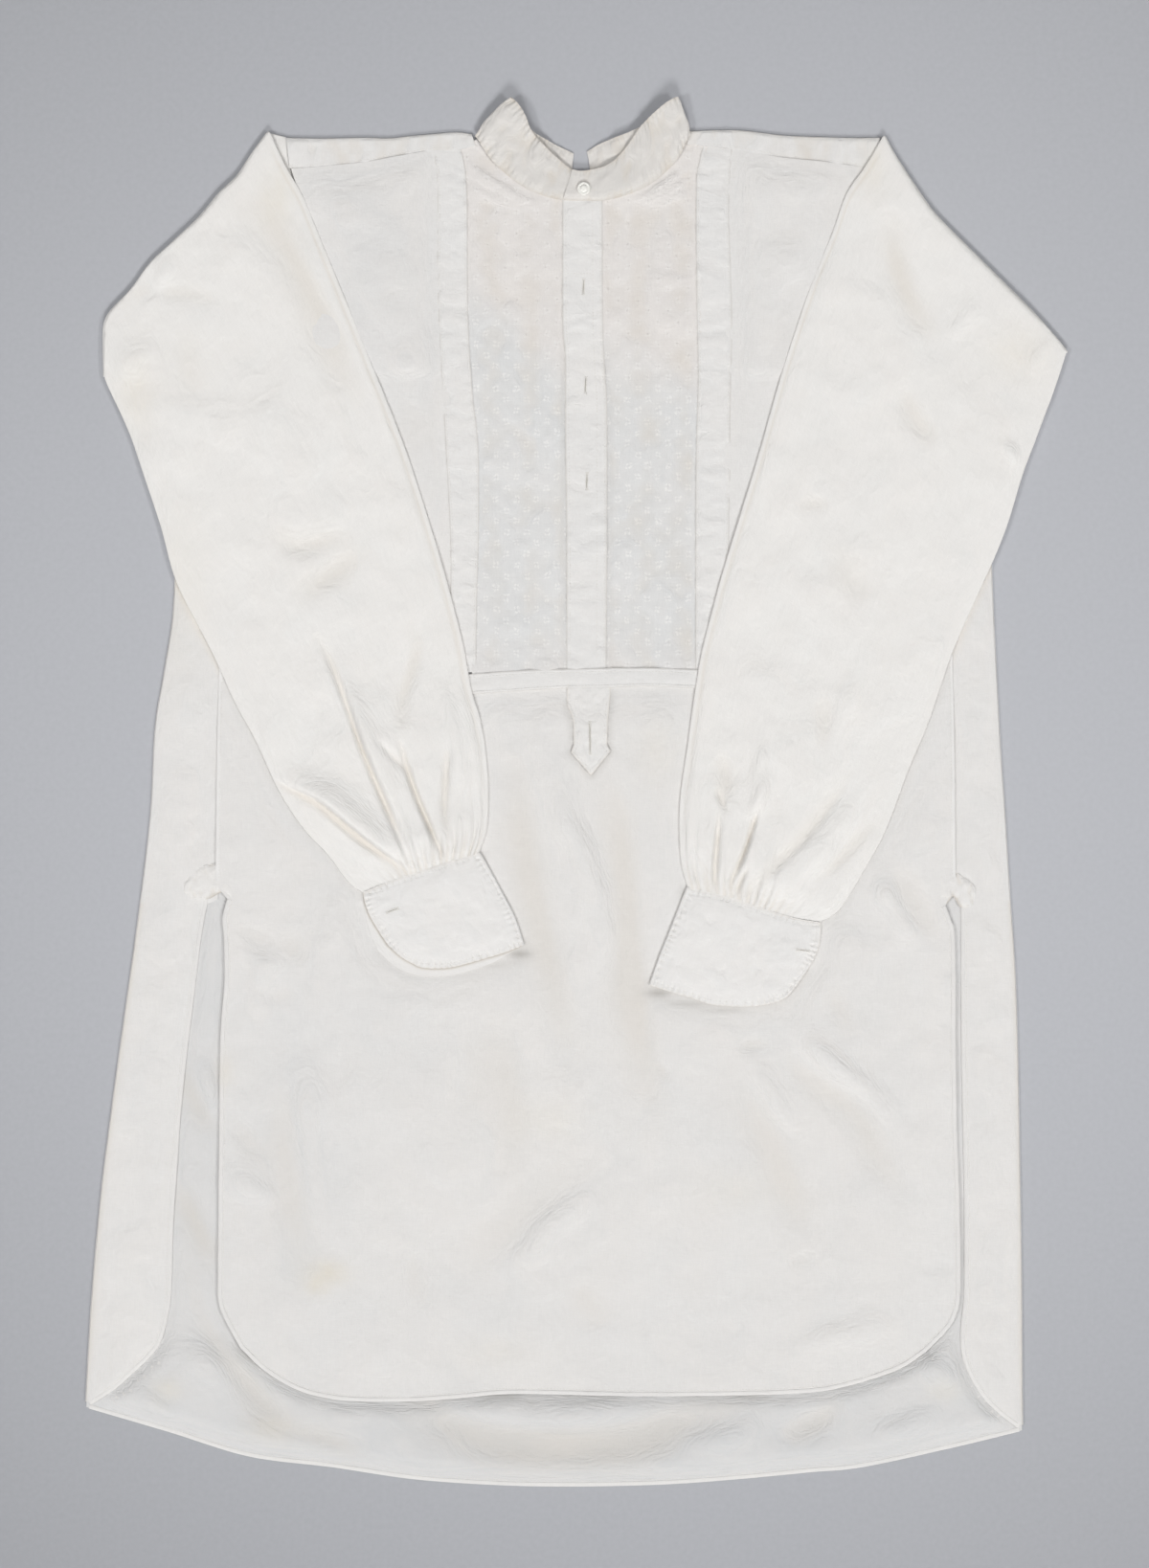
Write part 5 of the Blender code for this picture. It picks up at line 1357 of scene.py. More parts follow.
def yoke():
    """The back yoke, folded over both shoulders to the strips sewn to the front."""
    thick = sizes().cloth / MM
    seam = Path(BACK_YOKE_SEAM)
    parts = (
        (Path(SHOULDER_LEFT), Path(YOKE_SEAM_LEFT), 74),
        (Path(BACK_NECK), None, 60),
        (Path(SHOULDER_RIGHT), Path(YOKE_SEAM_RIGHT), 78),
    )
    out, up = half_turn(6, first=False)
    columns, kinds = [], []
    for index, (shoulder, seam_line, count) in enumerate(parts):
        ts = np.linspace(0, 1, count)
        for t in ts if seam_line else ts[1:-1]:
            x, y = shoulder.at(t)
            foot = seam_line.at(t) if seam_line else (x, y)
            y_in = y - thick / 2 - SIDE_TURN if seam_line else y
            low = seam.across(x, 0, 1)
            run = [(x, low + (y_in - low) * s, BACK_Z) for s in np.linspace(0, 1, 16)]
            run += [(x, y_in + SIDE_TURN * o, BACK_Z + SIDE_TURN * (1 + u)) for o, u in zip(out, up)]
            run += [(x + (foot[0] - x) * s, y_in + (foot[1] - y_in) * s, FRONT_Z + 0.15)
                    for s in np.linspace(0, 1, 14)[1:]]
            columns.append(run)
            kinds.append(index)
    grid = np.array(columns).transpose(1, 0, 2)[::-1]
    rows = grid.shape[0]
    kinds = np.array(kinds)
    keep = np.ones((rows - 1, len(kinds) - 1), bool)
    neck = (kinds[:-1] == 1) | (kinds[1:] == 1)
    keep[:rows - 16, neck] = False
    points = grid.reshape(-1, 3)
    top = points[:, 2] > FRONT_Z
    relief = rumpled(points[:, :2] * (1.0, 0.4), ((26, 1.0), (9, 0.9), (4, 0.4)), 11.0)
    points[top, 2] += np.maximum(relief[top] + 0.6, 0.25)
    low = points[:, 2] < BACK_Z + 0.01
    points[low, 2] += np.maximum(relief[low] + 0.15, 0) * 0.5
    faces = grid_faces(rows, len(kinds), keep=keep)
    # Painted warm shade in the hollows of the yoke's wrinkles
    warm = np.clip(-relief, 0, 1) * 0.6
    piece = shell("yoke_cloth", points, faces, thick, band_cotton(), warm=warm)
    adopt(piece, "body_cotton", "yoke")


def bosoms():
    """The two panels of thin sprigged voile beside the placket."""
    waist = even(WAIST_TOP, 4)
    for side, neck, outer, inner in (
            ("left", NECK_SEAM_LEFT, BAND_INNER_LEFT, PLACKET_LEFT),
            ("right", NECK_SEAM_RIGHT, BAND_INNER_RIGHT, PLACKET_RIGHT)):
        first, last = (outer, inner) if side == "left" else (inner, outer)
        foot = waist[(waist[:, 0] > first[-1][0] - 4) & (waist[:, 0] < last[-1][0] + 4)]
        outline = join(even(first, 4) + (-3, 0), foot, (even(last, 4) + (3, 0))[::-1],
                       (even(neck[1:-1], 4) + (0, 5))[::-1])
        xy, faces = cut(outline, 2.4)
        x, y = xy.T
        swing = 2.6 * np.sin(y / 31.0 + (0 if side == "left" else 2.1)) + x
        pleats = 1.7 * folded(xy, NECK_PLEATS)
        relief = 0.3 * np.sin(swing / 4.6) + pleats + rumpled(xy, ((26, 0.9), (10, 0.5)), 13.0)
        from_placket = abs(x - Path(inner).across(y))
        edge = np.minimum(abs(x - Path(outer).across(y)), from_placket)
        height = FRONT_Z - 0.2 + np.maximum(relief, -0.3) * smooth(edge / 5) + 0.5 * smooth((112 - y) / 18)
        limit = 340 - abs(x - 5) * 0.45 if side == "right" else 312 + abs(x + 8) * 0.95
        warm = smooth((y - limit + rumpled(xy, ((30, 14.0),), 17.0)) / 62 + 0.5)
        warm = np.maximum(warm, 0.55 * smooth((130 - y) / 40) * smooth((40 - edge) / 30))
        # Painted warm shade, faint all over and deeper in the voile's folds and pleats, and painted shade
        # beside the placket
        fold = np.clip(-relief * 0.8 + 0.1, 0, 1) * smooth(edge / 4) * 0.6
        beside_placket = 0.2 * bell(from_placket / 3.5) * smooth((345 - y) / 30) * smooth(y / 200)
        piece = shell(f"bosom_{side}_voile", np.column_stack([xy, height]), faces, VOILE_THICK,
                      bosom_voile(), tint=warm, warm=fold, shade=beside_placket)
        adopt(piece, "bosom_voile", f"bosom_{side}")


def strip(node, left, right, height, rows, seed, rough=1.0):
    """A made-up band between two long edges, pressed flat along its topstitching."""
    left, right = Path(left), Path(right)
    us = np.array([0, 0.05, 0.1, 0.15, 0.25, 0.4, 0.5, 0.6, 0.75, 0.85, 0.9, 0.95, 1])
    vs = np.linspace(0, 1, rows)
    a, b = left.at(vs), right.at(vs)
    xy = (a[:, None, :] + (b - a)[:, None, :] * us[None, :, None]).reshape(-1, 2)
    u = np.tile(us, rows)
    edge = np.minimum(u, 1 - u) * np.linalg.norm(b - a, axis=1).mean()
    pressed = -0.28 * bell((edge - sizes().inset / MM) / 0.7) - 0.25 * bell(edge / 0.6)
    ripple = rough * rumpled(xy * (0.5, 1.0), ((9, 0.7), (4, 0.45)), seed)
    drift = rough * rumpled(xy, ((34, 0.5),), seed)
    sunk = 0.8 * smooth(1 - np.repeat(vs, len(us)) * left.length[-1] / 6)
    points = np.column_stack([xy, height + pressed + ripple - sunk + drift])
    # Painted shadow and warm shade along both long edges of the band
    rim = 0.3 * bell(edge / 0.5)
    piece = shell(f"{node}_cloth", points, grid_faces(rows, len(us)), sizes().made_up / MM, band_cotton(),
                  shade=rim, warm=rim)
    adopt(piece, "band_cotton", node)


def higher(line, rise=4):
    """A line whose first point is moved up the shirt."""
    return [(line[0][0], line[0][1] + rise), *line[1:]]


def bands():
    """The bands beside the bosom, the placket and the waist band."""
    strip("band_left", higher(BAND_OUTER_LEFT), higher(BAND_INNER_LEFT), BAND_Z + 0.25, 170, 21.0)
    strip("band_right", higher(BAND_INNER_RIGHT), higher(BAND_OUTER_RIGHT), BAND_Z + 0.25, 170, 23.0)
    strip("placket", [(-10.5, 449)] + PLACKET_LEFT[1:-1] + [(-7.5, 88)],
          [(19.5, 449)] + PLACKET_RIGHT[1:-1] + [(22.5, 88)], BAND_Z + 0.2, 140, 27.0)
    strip("waist_band", WAIST_FOOT, [(x, y + 1.2) for x, y in WAIST_TOP], BAND_Z + 0.85, 120, 29.0, 0.3)


def tab():
    """The pointed buttonhole tab below the waist band."""
    spans = ((0, 2), (1, 4), (3, 5), (4, 6), (5, 7), (6, 8), (7, 10), (9, 11))
    outline = join(*[Path(TAB[first:last], 4).every(1.2) for first, last in spans])
    xy, faces = cut(outline, 1.2)
    edge = nearest(xy, closed_line(outline))[0]
    pressed = -0.3 * bell((edge - 2.4) / 0.6) - 0.2 * bell(edge / 0.7)
    raised = 0.1 + 1.3 * smooth((58 - xy[:, 1]) / 30)
    height = FRONT_Z + front_relief(xy)[0] + 0.5 + raised + pressed
    height = height + rumpled(xy, ((14, 0.6), (5, 0.35)), 31.0)
    # Painted warm shade along the tab's edge, over a faint warm tone all over
    piece = shell("tab_cloth", np.column_stack([xy, height]), faces, sizes().made_up / MM, cuff_cotton(),
                  warm=0.5 * bell(edge / 0.8) + 0.08)
    adopt(piece, "band_cotton", "tab")


def gussets():
    """The small pieces sewn over the heads of the vents."""
    for side, outline in (("left", GUSSET_LEFT), ("right", GUSSET_RIGHT)):
        outline = Path(outline + outline[:1], 6).line[:-1]
        xy, faces = cut(outline, 1.6)
        edge = nearest(xy, closed_line(outline))[0]
        pucker = rumpled(xy * (1.0, 0.45), ((3.2, 0.9),), 35.0) * smooth(1.5 - edge / 6)
        notch = bell(nearest(xy, np.array(NOTCHES[side], float))[0] / 1.3)
        height = ON_FRONT_Z + 0.9 + pucker - 0.75 * bell(edge / 1.8)
        height = height + rumpled(xy, ((11, 0.5), (5, 0.3)), 33.0)
        # Painted warm shade in the puckers, and painted warm shade and shadow at the notch, over a faint
        # warm tone all over
        warm = np.clip(-pucker * 2, 0, 1) * 0.5 + 0.1 + 0.8 * notch
        piece = shell(f"gusset_{side}_cloth", np.column_stack([xy, height]), faces, sizes().cloth / MM,
                      cuff_cotton(), warm=warm, shade=0.4 * notch)
        adopt(piece, "body_cotton", f"gusset_{side}")


# How far the sleeve's lower wall drops beside the shirt, how far its walls stand in from the edge, and
# its rows of gathers: how many, how far they reach from the cuff and how high they stand
SLEEVE_DROP = SLEEVE_TURN_Z + TURN_INNER - 0.45
SLEEVE_EDGE = 0.95
GATHERS = ((9, 95, 1.6), (19, 48, 1.3), (37, 20, 0.8))


def near_cuff(to_cuff, s, uneven):
    """Shade between the gathers beside the cuff."""
    lines = (1 + np.cos(math.tau * GATHERS[1][0] * uneven)) / 2
    return smooth(1 - to_cuff / 30) * lines * (1 - smooth((s - 0.6) / 0.25))


def high(plan, z):
    """The points of a plan raised to one height, or to a height for each."""
    return np.concatenate([plan, np.broadcast_to(np.asarray(z, float), plan.shape[:2])[..., None]], axis=-1)


def ring(top, low):
    """Closed sections from the places of the upper and the lower wall, (rows, columns, 3)."""
    angle = (np.pi * np.arange(1, 5) / 5)[None, :, None]
    ends = []
    for last, before in ((-1, -3), (0, 2)):
        a, b = top[:, last], low[:, last]
        way = unit((a - top[:, before]) * (1, 1, 0))[:, None, :]
        half = ((a - b) / 2)[:, None, :]
        size = np.minimum(np.linalg.norm(half, axis=-1, keepdims=True), 0.65)
        ends.append(((a + b) / 2)[:, None, :] + half * np.cos(angle) + way * size * np.sin(angle))
    return np.concatenate([top, ends[0], low[:, ::-1], ends[1][:, ::-1]], axis=1)


def sleeve(side):
    """A full sleeve: its head lies beside the shirt, turns over at the fold and runs to the cuff."""
    left = side == "left"
    outward = -1 if left else 1
    turned = -outward
    thick = sizes().cloth / MM
    arm = ARMHOLE_LEFT if left else ARMHOLE_RIGHT
    inner = SLEEVE_INNER_LEFT if left else SLEEVE_INNER_RIGHT
    outer = SLEEVE_OUTER_LEFT if left else SLEEVE_OUTER_RIGHT
    end = Path(CUFF_SEAM_LEFT if left else CUFF_SEAM_RIGHT)
    folds = SLEEVE_FOLDS_LEFT if left else SLEEVE_FOLDS_RIGHT
    fold_line = Path(FOLD_LEFT if left else FOLD_RIGHT)
    turn_line = Path(shifted(fold_line.at(np.linspace(0, 1, 24)), turned * (TURN_OUTER + thick / 2)))
    arm_line = Path([(x + outward * 0.3, y) for x, y in arm])
    body_edge = (SIDE_FOLD_LEFT if left else SIDE_FOLD_RIGHT)[0][0]
    upper = np.linspace(0, 1, 112)
    lower = np.linspace(0, 1, 26)

    head_rows = np.linspace(0, 1, 26)
    head_in, head_out = (Path([arm_line.at(t), turn_line.at(t)]) for t in (0.0, 1.0))
    plan = coons(arm_line, turn_line, head_in, head_out, upper, head_rows)
    waves = rumpled(plan.reshape(-1, 2), ((30, 0.6), (12, 0.25)), 41.0).reshape(plan.shape[:2])
    under = coons(arm_line, turn_line, head_in, head_out, lower, head_rows)
    sections = [ring(high(plan, HEAD_OUTER_Z + np.maximum(waves, -0.2) * 0.4), high(under, HEAD_INNER_Z))]
    away = unit(fold_line.at(upper) - turn_line.at(upper))
    for step in range(1, 8):
        angle = -np.pi / 2 + np.pi * step / 8
        walls = []
        for ss, radius in ((upper, TURN_OUTER), (lower, TURN_INNER)):
            out = np.column_stack([np.interp(ss, upper, c) for c in away.T]) * (math.cos(angle) * radius)
            walls.append(high((turn_line.at(ss) + out)[None], SLEEVE_TURN_Z + math.sin(angle) * radius))
        sections.append(ring(*walls))

    side_in = Path(np.vstack([turn_line.at(0.0), shifted(inner, -turned * SLEEVE_EDGE)[1:]]))
    side_out = Path(np.vstack([turn_line.at(1.0), shifted(outer, turned * SLEEVE_EDGE)[1:]]))
    vs = np.concatenate([np.linspace(0, 0.7, 118), np.linspace(0.7, 1, 78)[1:]])
    plan = coons(turn_line, end, side_in, side_out, upper, vs)
    shape = plan.shape[:2]
    to_cuff = ((1 - vs) * side_in.length[-1])[:, None]
    s = upper[None, :]
    loft = 2.0 * smooth(vs / 0.3) + 2.2 * smooth((vs - 0.6) / 0.35)
    loft = (loft * (1 - 0.85 * smooth(1 - to_cuff[:, 0] / 34)))[:, None]
    rise = loft * np.sin(np.pi * np.clip(s, 1e-6, 1 - 1e-6)) ** 0.6
    edge = smooth(np.minimum(s, 1 - s) / 0.06)
    uneven = s + 0.018 * np.sin(9.0 * s + 1.0) + 0.01 * np.sin(23.0 * s)
    wave = 0.0
    for count, reach, height in GATHERS:
        near = smooth(1 - to_cuff / (reach * (0.75 + 0.5 * np.sin(count * 2.3 * s) ** 2)))
        wave = wave + height * near * (1 - np.cos(math.tau * count * uneven)) / 2
    wave = wave * (1 - 0.8 * smooth((s - 0.52) / 0.2)) * (1 - 0.45 * smooth(1 - to_cuff / 8))
    xy = plan.reshape(-1, 2)
    creases = SLEEVE_STRENGTH * folded(xy, folds)
    relief = creases + rumpled(xy, ((60, 2.0), (24, 0.8), (10, 0.22)), 43.0)
    relief = (relief + creased(xy, ((44, 0.3),), 45.0)).reshape(shape)
    wide = np.linalg.norm(side_out.at(vs) - side_in.at(vs), axis=1)[:, None]
    rolled = bell((s * wide - 3.8) / 1.3) * smooth(vs / 0.05)[:, None] * smooth((1 - vs) / 0.3)[:, None]
    relief = relief - 0.9 * rolled
    # Painted warm shade beside the rolled inner edge, in the creases and between the gathers by the cuff
    deep = 0.5 * rolled + np.clip(-creases / 6, 0, 0.7).reshape(shape)
    deep = deep + 0.5 * near_cuff(to_cuff, s, uneven)
    top_z = SLEEVE_TURN_Z + TURN_OUTER + edge * (kept_above((rise + wave) + relief, -0.35, 1.5) - 0.3)
    plan_low = coons(turn_line, end, side_in, side_out, lower, vs)
    past = (plan_low[..., 0] - body_edge) * outward
    below = head_out.across(plan_low[..., 0], 0, 1) - plan_low[..., 1]
    drop = SLEEVE_DROP * smooth((np.minimum(past, below) - 18) / 20)
    sections.append(ring(high(plan, top_z), high(plan_low, SLEEVE_TURN_Z + TURN_INNER - drop)))

    grid = np.concatenate(sections)
    ss = np.concatenate([upper, np.ones(4), lower[::-1], np.zeros(4)])
    run = travel(grid[:, len(upper) // 2])
    grain = np.stack(np.broadcast_arrays(ss[None, :] * 235.0, -run[:, None]), axis=-1)
    warm = np.zeros(grid.shape[:2])
    warm[-len(vs):, :len(upper)] = deep
    faces = grid_faces(*grid.shape[:2], closed=True)[:, ::1 if left else -1]
    piece = shell(f"sleeve_{side}_cloth", grid, faces, thick, sleeve_cotton(), grain, warm=warm)
    adopt(piece, "sleeve_cotton", f"sleeve_{side}")


def cuff(side):
    """A single cuff folded in two, with rounded corners at its open end."""
    left = side == "left"
    away = 1 if left else -1
    thick = sizes().made_up / MM
    seam = CUFF_SEAM_LEFT if left else CUFF_SEAM_RIGHT
    fold = CUFF_FOLD_LEFT if left else CUFF_FOLD_RIGHT
    free = CUFF_FREE_LEFT if left else CUFF_FREE_RIGHT
    edge = CUFF_EDGE_LEFT if left else CUFF_EDGE_RIGHT
    under_free = CUFF_UNDER_FREE_LEFT if left else CUFF_FREE_RIGHT
    under_edge = CUFF_UNDER_EDGE_LEFT if left else CUFF_EDGE_RIGHT
    radius = (CUFF_TOP_Z - CUFF_UNDER_Z) / 2
    shift = radius + thick / 2
    line = Path(shifted(seam, away * -0.8))
    fold_line = Path([line.at(0.0)] + [(x - away * shift * 0.85, y - shift * 0.5) for x, y in fold[1:]])
    us = np.linspace(1, 0, 118)
    vs = np.linspace(0, 1, 66)
    layers = []
    for free_line, edge_line in ((free, edge), (under_free, under_edge)):
        low = Path([tuple(fold_line.at(1.0)), *edge_line[1:]])
        side_line = Path([tuple(line.at(1.0)), *free_line[1:]])
        layers.append(coons(line, low, fold_line, side_line, us, vs))
    top, under = layers
    shape = top.shape[:2]
    xy = top.reshape(-1, 2)
    border = np.vstack([even(fold, 2), even(edge, 2), even(free, 2)[::-1]])
    distance, travelled, _ = nearest(xy, border)
    at_seam, along_seam, _ = nearest(xy, even(seam, 2))
    rolled = np.minimum(distance, at_seam)
    pressed = -0.3 * bell((rolled - sizes().inset / MM) / 0.7) - 0.3 * bell(rolled / 0.8)
    uneven = 0.6 + 0.8 * rumpled(xy, ((16, 1.0),), 49.0)
    pucker = 0.5 * np.sin(travelled / 0.74 + 2 * np.sin(travelled / 7.0)) * smooth(1.35 - distance / 6.5)
    pucker = pucker * uneven + 0.25 * np.sin(along_seam / 0.74) * smooth(1.3 - at_seam / 5) * uneven
    relief = pressed + pucker * smooth(distance / 1.2) + 0.9 * smooth(rolled / 14)
    relief = relief + rumpled(xy, ((24, 0.8), (10, 0.4), (5, 0.2)), 47.0)
    near_fold = smooth(away_from(xy, fold, 2) / 3)
    top = high(top, CUFF_TOP_Z + 0.25 + (relief * near_fold).reshape(shape))
    out, up = (part[::-1] for part in half_turn(7, first=False, last=False))
    bend = top[:, -1:, :2] + np.stack([0.85 * away * radius * out, 0.5 * radius * out], axis=-1)[None]
    height = (top[:, -1:, 2] + CUFF_UNDER_Z) / 2
    reach = (top[:, -1:, 2] - CUFF_UNDER_Z) / 2
    grid = np.concatenate([top, high(bend, height + reach * up), high(under, CUFF_UNDER_Z)[:, ::-1]], axis=1)
    faces = grid_faces(*grid.shape[:2])[:, ::1 if left else -1]
    width = np.linspace(0, 180, grid.shape[1])
    grain = np.stack(np.broadcast_arrays(width[None, :], -vs[:, None] * 70.0), axis=-1)
    # Painted warm shade at the rolled edges and in the puckers of the upper layer, and painted warm shade
    # and shadow on the lower layer beside the upper one's edges
    warm, shade = np.zeros((2, *grid.shape[:2]))
    warm[:, :shape[1]] = (0.35 * bell(rolled / 0.7) + np.clip(-pucker, 0, 1) * 0.5).reshape(shape)
    lower = grid[:, -shape[1]:, :2].reshape(-1, 2)
    below = bell(nearest(lower, border)[0] / 1.3).reshape(shape)
    warm[:, -shape[1]:] = below
    shade[:, -shape[1]:] = 0.5 * below
    piece = shell(f"cuff_{side}_cloth", grid, faces, thick, cuff_cotton(), grain, warm=warm, shade=shade)
    adopt(piece, "sleeve_cotton", f"cuff_{side}")


# The neckband's length from the front to the centre back, and its height
NECKBAND_LONG = 180.0
NECKBAND_HIGH = 23.0


def neckband(side):
    """One half of the neckband, standing up and turned back at the side of the neck."""
    left = side == "left"
    stations = np.array(COLLAR_LEFT if left else COLLAR_RIGHT)
    ts = np.linspace(0, 1, 230)
    us = np.linspace(0, 1, 24)
    feet, tops = Path(stations[:, :3]).at(ts), Path(stations[:, 3:]).at(ts)
    grid = feet[:, None, :] + (tops - feet)[:, None, :] * us[None, :, None]
    bulge = 3.4 * bell((ts - 0.64) / 0.09)[:, None] * np.sin(np.pi * us)[None, :]
    grid[..., 0] += (-0.75 if left else 0.75) * bulge
    grid[..., 1] += 0.5 * bulge
    points = grid.reshape(-1, 3)
    faces = grid_faces(*grid.shape[:2])[:, ::-1 if left else 1]
    height = np.tile(us, len(ts)) * NECKBAND_HIGH
    along = np.repeat(ts, len(us)) * NECKBAND_LONG
    edge = np.minimum(height, NECKBAND_HIGH - height)
    pressed = -0.25 * bell((edge - sizes().inset / MM) / 0.8)
    flat = np.column_stack([along, height])
    ripple = 0.3 * np.sin(along / 0.62 + 2.0 * np.sin(along / 9.0)) * smooth(1.4 - edge / 4.5)
    relief = pressed + ripple + rumpled(flat, ((24, 2.6), (10, 2.0), (5, 0.7)), 53.0)
    calm = 0.35 + 0.65 * smooth((along - 40) / 25)
    points = points + normals_of(points, faces) * (relief * calm)[:, None]
    at_front = smooth((0.52 - np.repeat(ts, len(us))) / 0.08)
    sewn_down = smooth(1 - height / 4.5) * at_front
    points[:, 2] += (BAND_Z + 0.35 - points[:, 2]) * 0.75 * sewn_down
    points[:, 2] = np.maximum(points[:, 2], 0.55)
    # Painted warm shade in the wrinkles' hollows and along both edges
    fold = np.clip(-relief, 0, 1) * 0.5 + 0.4 * bell(edge / 1.2)
    piece = shell(f"collar_{side}_cloth", points, faces, NECKBAND_THICK, neck_cotton(), flat, warm=fold)
    adopt(piece, "band_cotton", f"collar_{side}")


# Half of the button's section, from the middle of its back round to the middle of its face
BUTTON_PROFILE = [
    (0.0, 0.0), (4.4, 0.0), (4.9, 0.3), (5.0, 0.8), (4.8, 1.2), (4.3, 1.45), (3.7, 1.4), (3.3, 1.25),
    (2.9, 1.3), (2.2, 1.75), (1.2, 2.05), (0.0, 2.15),
]


def button():
    """The small pearl button: a rounded rim, a shallow channel and a low dome."""
    profile = Path(BUTTON_PROFILE, 4).line
    count = 56
    angles = math.tau * np.arange(count) / count
    radii, heights = profile[1:-1].T[..., None]
    rings = np.stack([radii * np.cos(angles), radii * np.sin(angles), heights + 0 * angles], axis=-1)
    points = np.vstack([rings.reshape(-1, 3), (0, 0, profile[0, 1]), (0, 0, profile[-1, 1])])
    rows = len(rings)
    faces = grid_faces(rows, count, closed=True)[:, ::-1].tolist()
    low, top = len(points) - 2, len(points) - 1
    for c in range(count):
        d = (c + 1) % count
        faces.append([low, d, c])
        faces.append([top, (rows - 1) * count + c, (rows - 1) * count + d])
    points = points + BUTTON_PLACE
    piece = new_mesh("collar_button_pearl", points, faces, pearl_paint(), {"grain": points})
    adopt(piece, "pearl", "collar_button")


def down_seam(seam, step):
    """Points down a side seam, from under the arm to the head of the vent."""
    path = Path(seam)
    return np.array([(path.across(y), y) for y in np.arange(300, VENT_TOP + 12, -step)])


def hems():
    """Narrow rolled hems round both tails and the vents, and the felled side seams."""
    width, thick = sizes().hem / MM, sizes().hem_thick / MM
    inset = width / 2 - 0.3
    scene = bpy.data.objects
    front_face, back_face = surface(scene["front_cloth"]), surface(scene["back_cloth"])
    line, facing = laid_on(front_face, shifted(front_edge(3), inset))
    line[:, 2] -= HEM_SUNK
    adopt(welts("front_hem", [(line, facing)], body_cotton(), width, thick), "body_cotton")
    lines = []
    for vent, way in ((VENT_BACK_LEFT, -1), (VENT_BACK_RIGHT, 1)):
        line, facing = laid_on(back_face, shifted(even(vent, 3)[:-1], way * inset))
        line[:, 2] -= HEM_SUNK
        lines.append((line, facing))
    line, facing = laid_on(back_face, shifted(even(BACK_HEM, 3), inset)[1:-1])
    line[:, 2] = np.maximum(line[:, 2] - HEM_SUNK, thick / 2)
    lines.append((line, facing))
    adopt(welts("back_hem", lines, body_cotton(), width, thick), "body_cotton")
    seams = []
    for seam, way in ((SIDE_SEAM_LEFT, 1), (SIDE_SEAM_RIGHT, -1)):
        xy = down_seam(seam, 3.0)
        line, facing = laid_on(front_face, xy + (2.5 * way, 0))
        line[:, :2] = xy
        line[:, 2] -= 0.15
        seams.append((line, facing))
    adopt(welts("side_seams", seams, cuff_cotton(), 3.2, 0.36, 0.05), "body_cotton")


# Satin stitches round a buttonhole: their spacing, and how near and how far they reach from the slit
SATIN_GAP = 0.5
SATIN_REACH = (0.25, 1.15)
SLIT_HALF = 0.28
SLIT_STEPS = 13


def buttonhole(under, centre, way, size, starts, ends, ups):
    """Satin stitches round one slit, added to the lists. Returns the points of the slit's lens."""
    way = np.array(way, float) / np.hypot(*way)
    side = np.array([-way[1], way[0]])
    centre = np.array(centre, float)
    near, far = SATIN_REACH
    pairs = []
    for s in np.arange(-size / 2, size / 2 + 0.01, SATIN_GAP):
        spot = centre + way * s
        for sign in (-1, 1):
            uneven = 0.12 * noise.noise(Vector((s, sign, centre[1])))
            pairs.append((spot + side * sign * near, spot + side * sign * (far + uneven)))
    for sign in (-1, 1):
        for s in np.arange(-far, far + 0.01, SATIN_GAP):
            spot = centre + way * sign * size / 2 + side * s
            pairs.append((spot, spot + way * sign * 0.9))
    for pair in pairs:
        line, facing = laid_on(under, pair)
        line[:, 2] += 0.05
        starts.append(line[0])
        ends.append(line[1])
        ups.append(facing[0])
    along = np.linspace(-0.5, 0.5, SLIT_STEPS)
    half = SLIT_HALF * min(size / 12, 1) * np.sqrt(1 - (2 * along) ** 2) + 0.02
    edges = [centre + way * (along * size)[:, None] + side * (sign * half)[:, None] for sign in (-1, 1)]
    return laid_on(under, np.vstack(edges))[0]


def buttonholes():
    """The buttonholes in the placket, the tab and the cuffs, with a shaded slit in each."""
    holes = [("placket", *hole) for hole in PLACKET_HOLES]
    holes += [("tab", *TAB_HOLE), *((f"cuff_{side}", *hole) for side, hole in CUFF_HOLES.items())]
    around_slit = [*range(SLIT_STEPS), *range(2 * SLIT_STEPS - 1, SLIT_STEPS - 1, -1)]
    starts, ends, ups, points, faces = [], [], [], [], []
    for node, *hole in holes:
        line = buttonhole(surface(bpy.data.objects[f"{node}_cloth"]), *hole, starts, ends, ups)
        top = len(points)
        low = top + len(line)
        points += [*(line + (0, 0, 0.12)), *(line - (0, 0, 0.25))]
        for a, b in zip(around_slit, around_slit[1:] + around_slit[:1]):
            faces.append([top + a, low + a, low + b, top + b])
        for k in range(SLIT_STEPS - 1):
            cell = [k, k + 1, k + 1 + SLIT_STEPS, k + SLIT_STEPS]
            faces.append([top + v for v in cell])
            faces.append([low + v for v in cell[::-1]])
    adopt(threads("buttonhole_stitches", starts, ends, ups), "band_cotton")
    flat = np.array(points)
    # Each slit is a dark sheet of painted shadow
    adopt(new_mesh("buttonhole_slit_shadows", flat, faces, slit_shadow_paint(), {"grain": flat}), "band_cotton")


def beside(names, line, inset, start=0.01, end=0.99, step=2.0, detail=10):
    """A run of stitches on some pieces, a little to the left of a line's direction of travel."""
    path = Path(line, detail)
    count = max(int(path.length[-1] * (end - start) / step), 2)
    return names, shifted(path.at(np.linspace(start, end, count)), inset)


def stitched(name, runs, up=True):
    """Running stitches laid on pieces. Each run is the names of the pieces and the points in plan."""
    lines = []
    for names, xy in runs:
        under = surface(*[bpy.data.objects[piece] for piece in names.split()])
        lines.append(laid_on(under, xy, up))
    adopt(sewn(name, lines), "band_cotton")


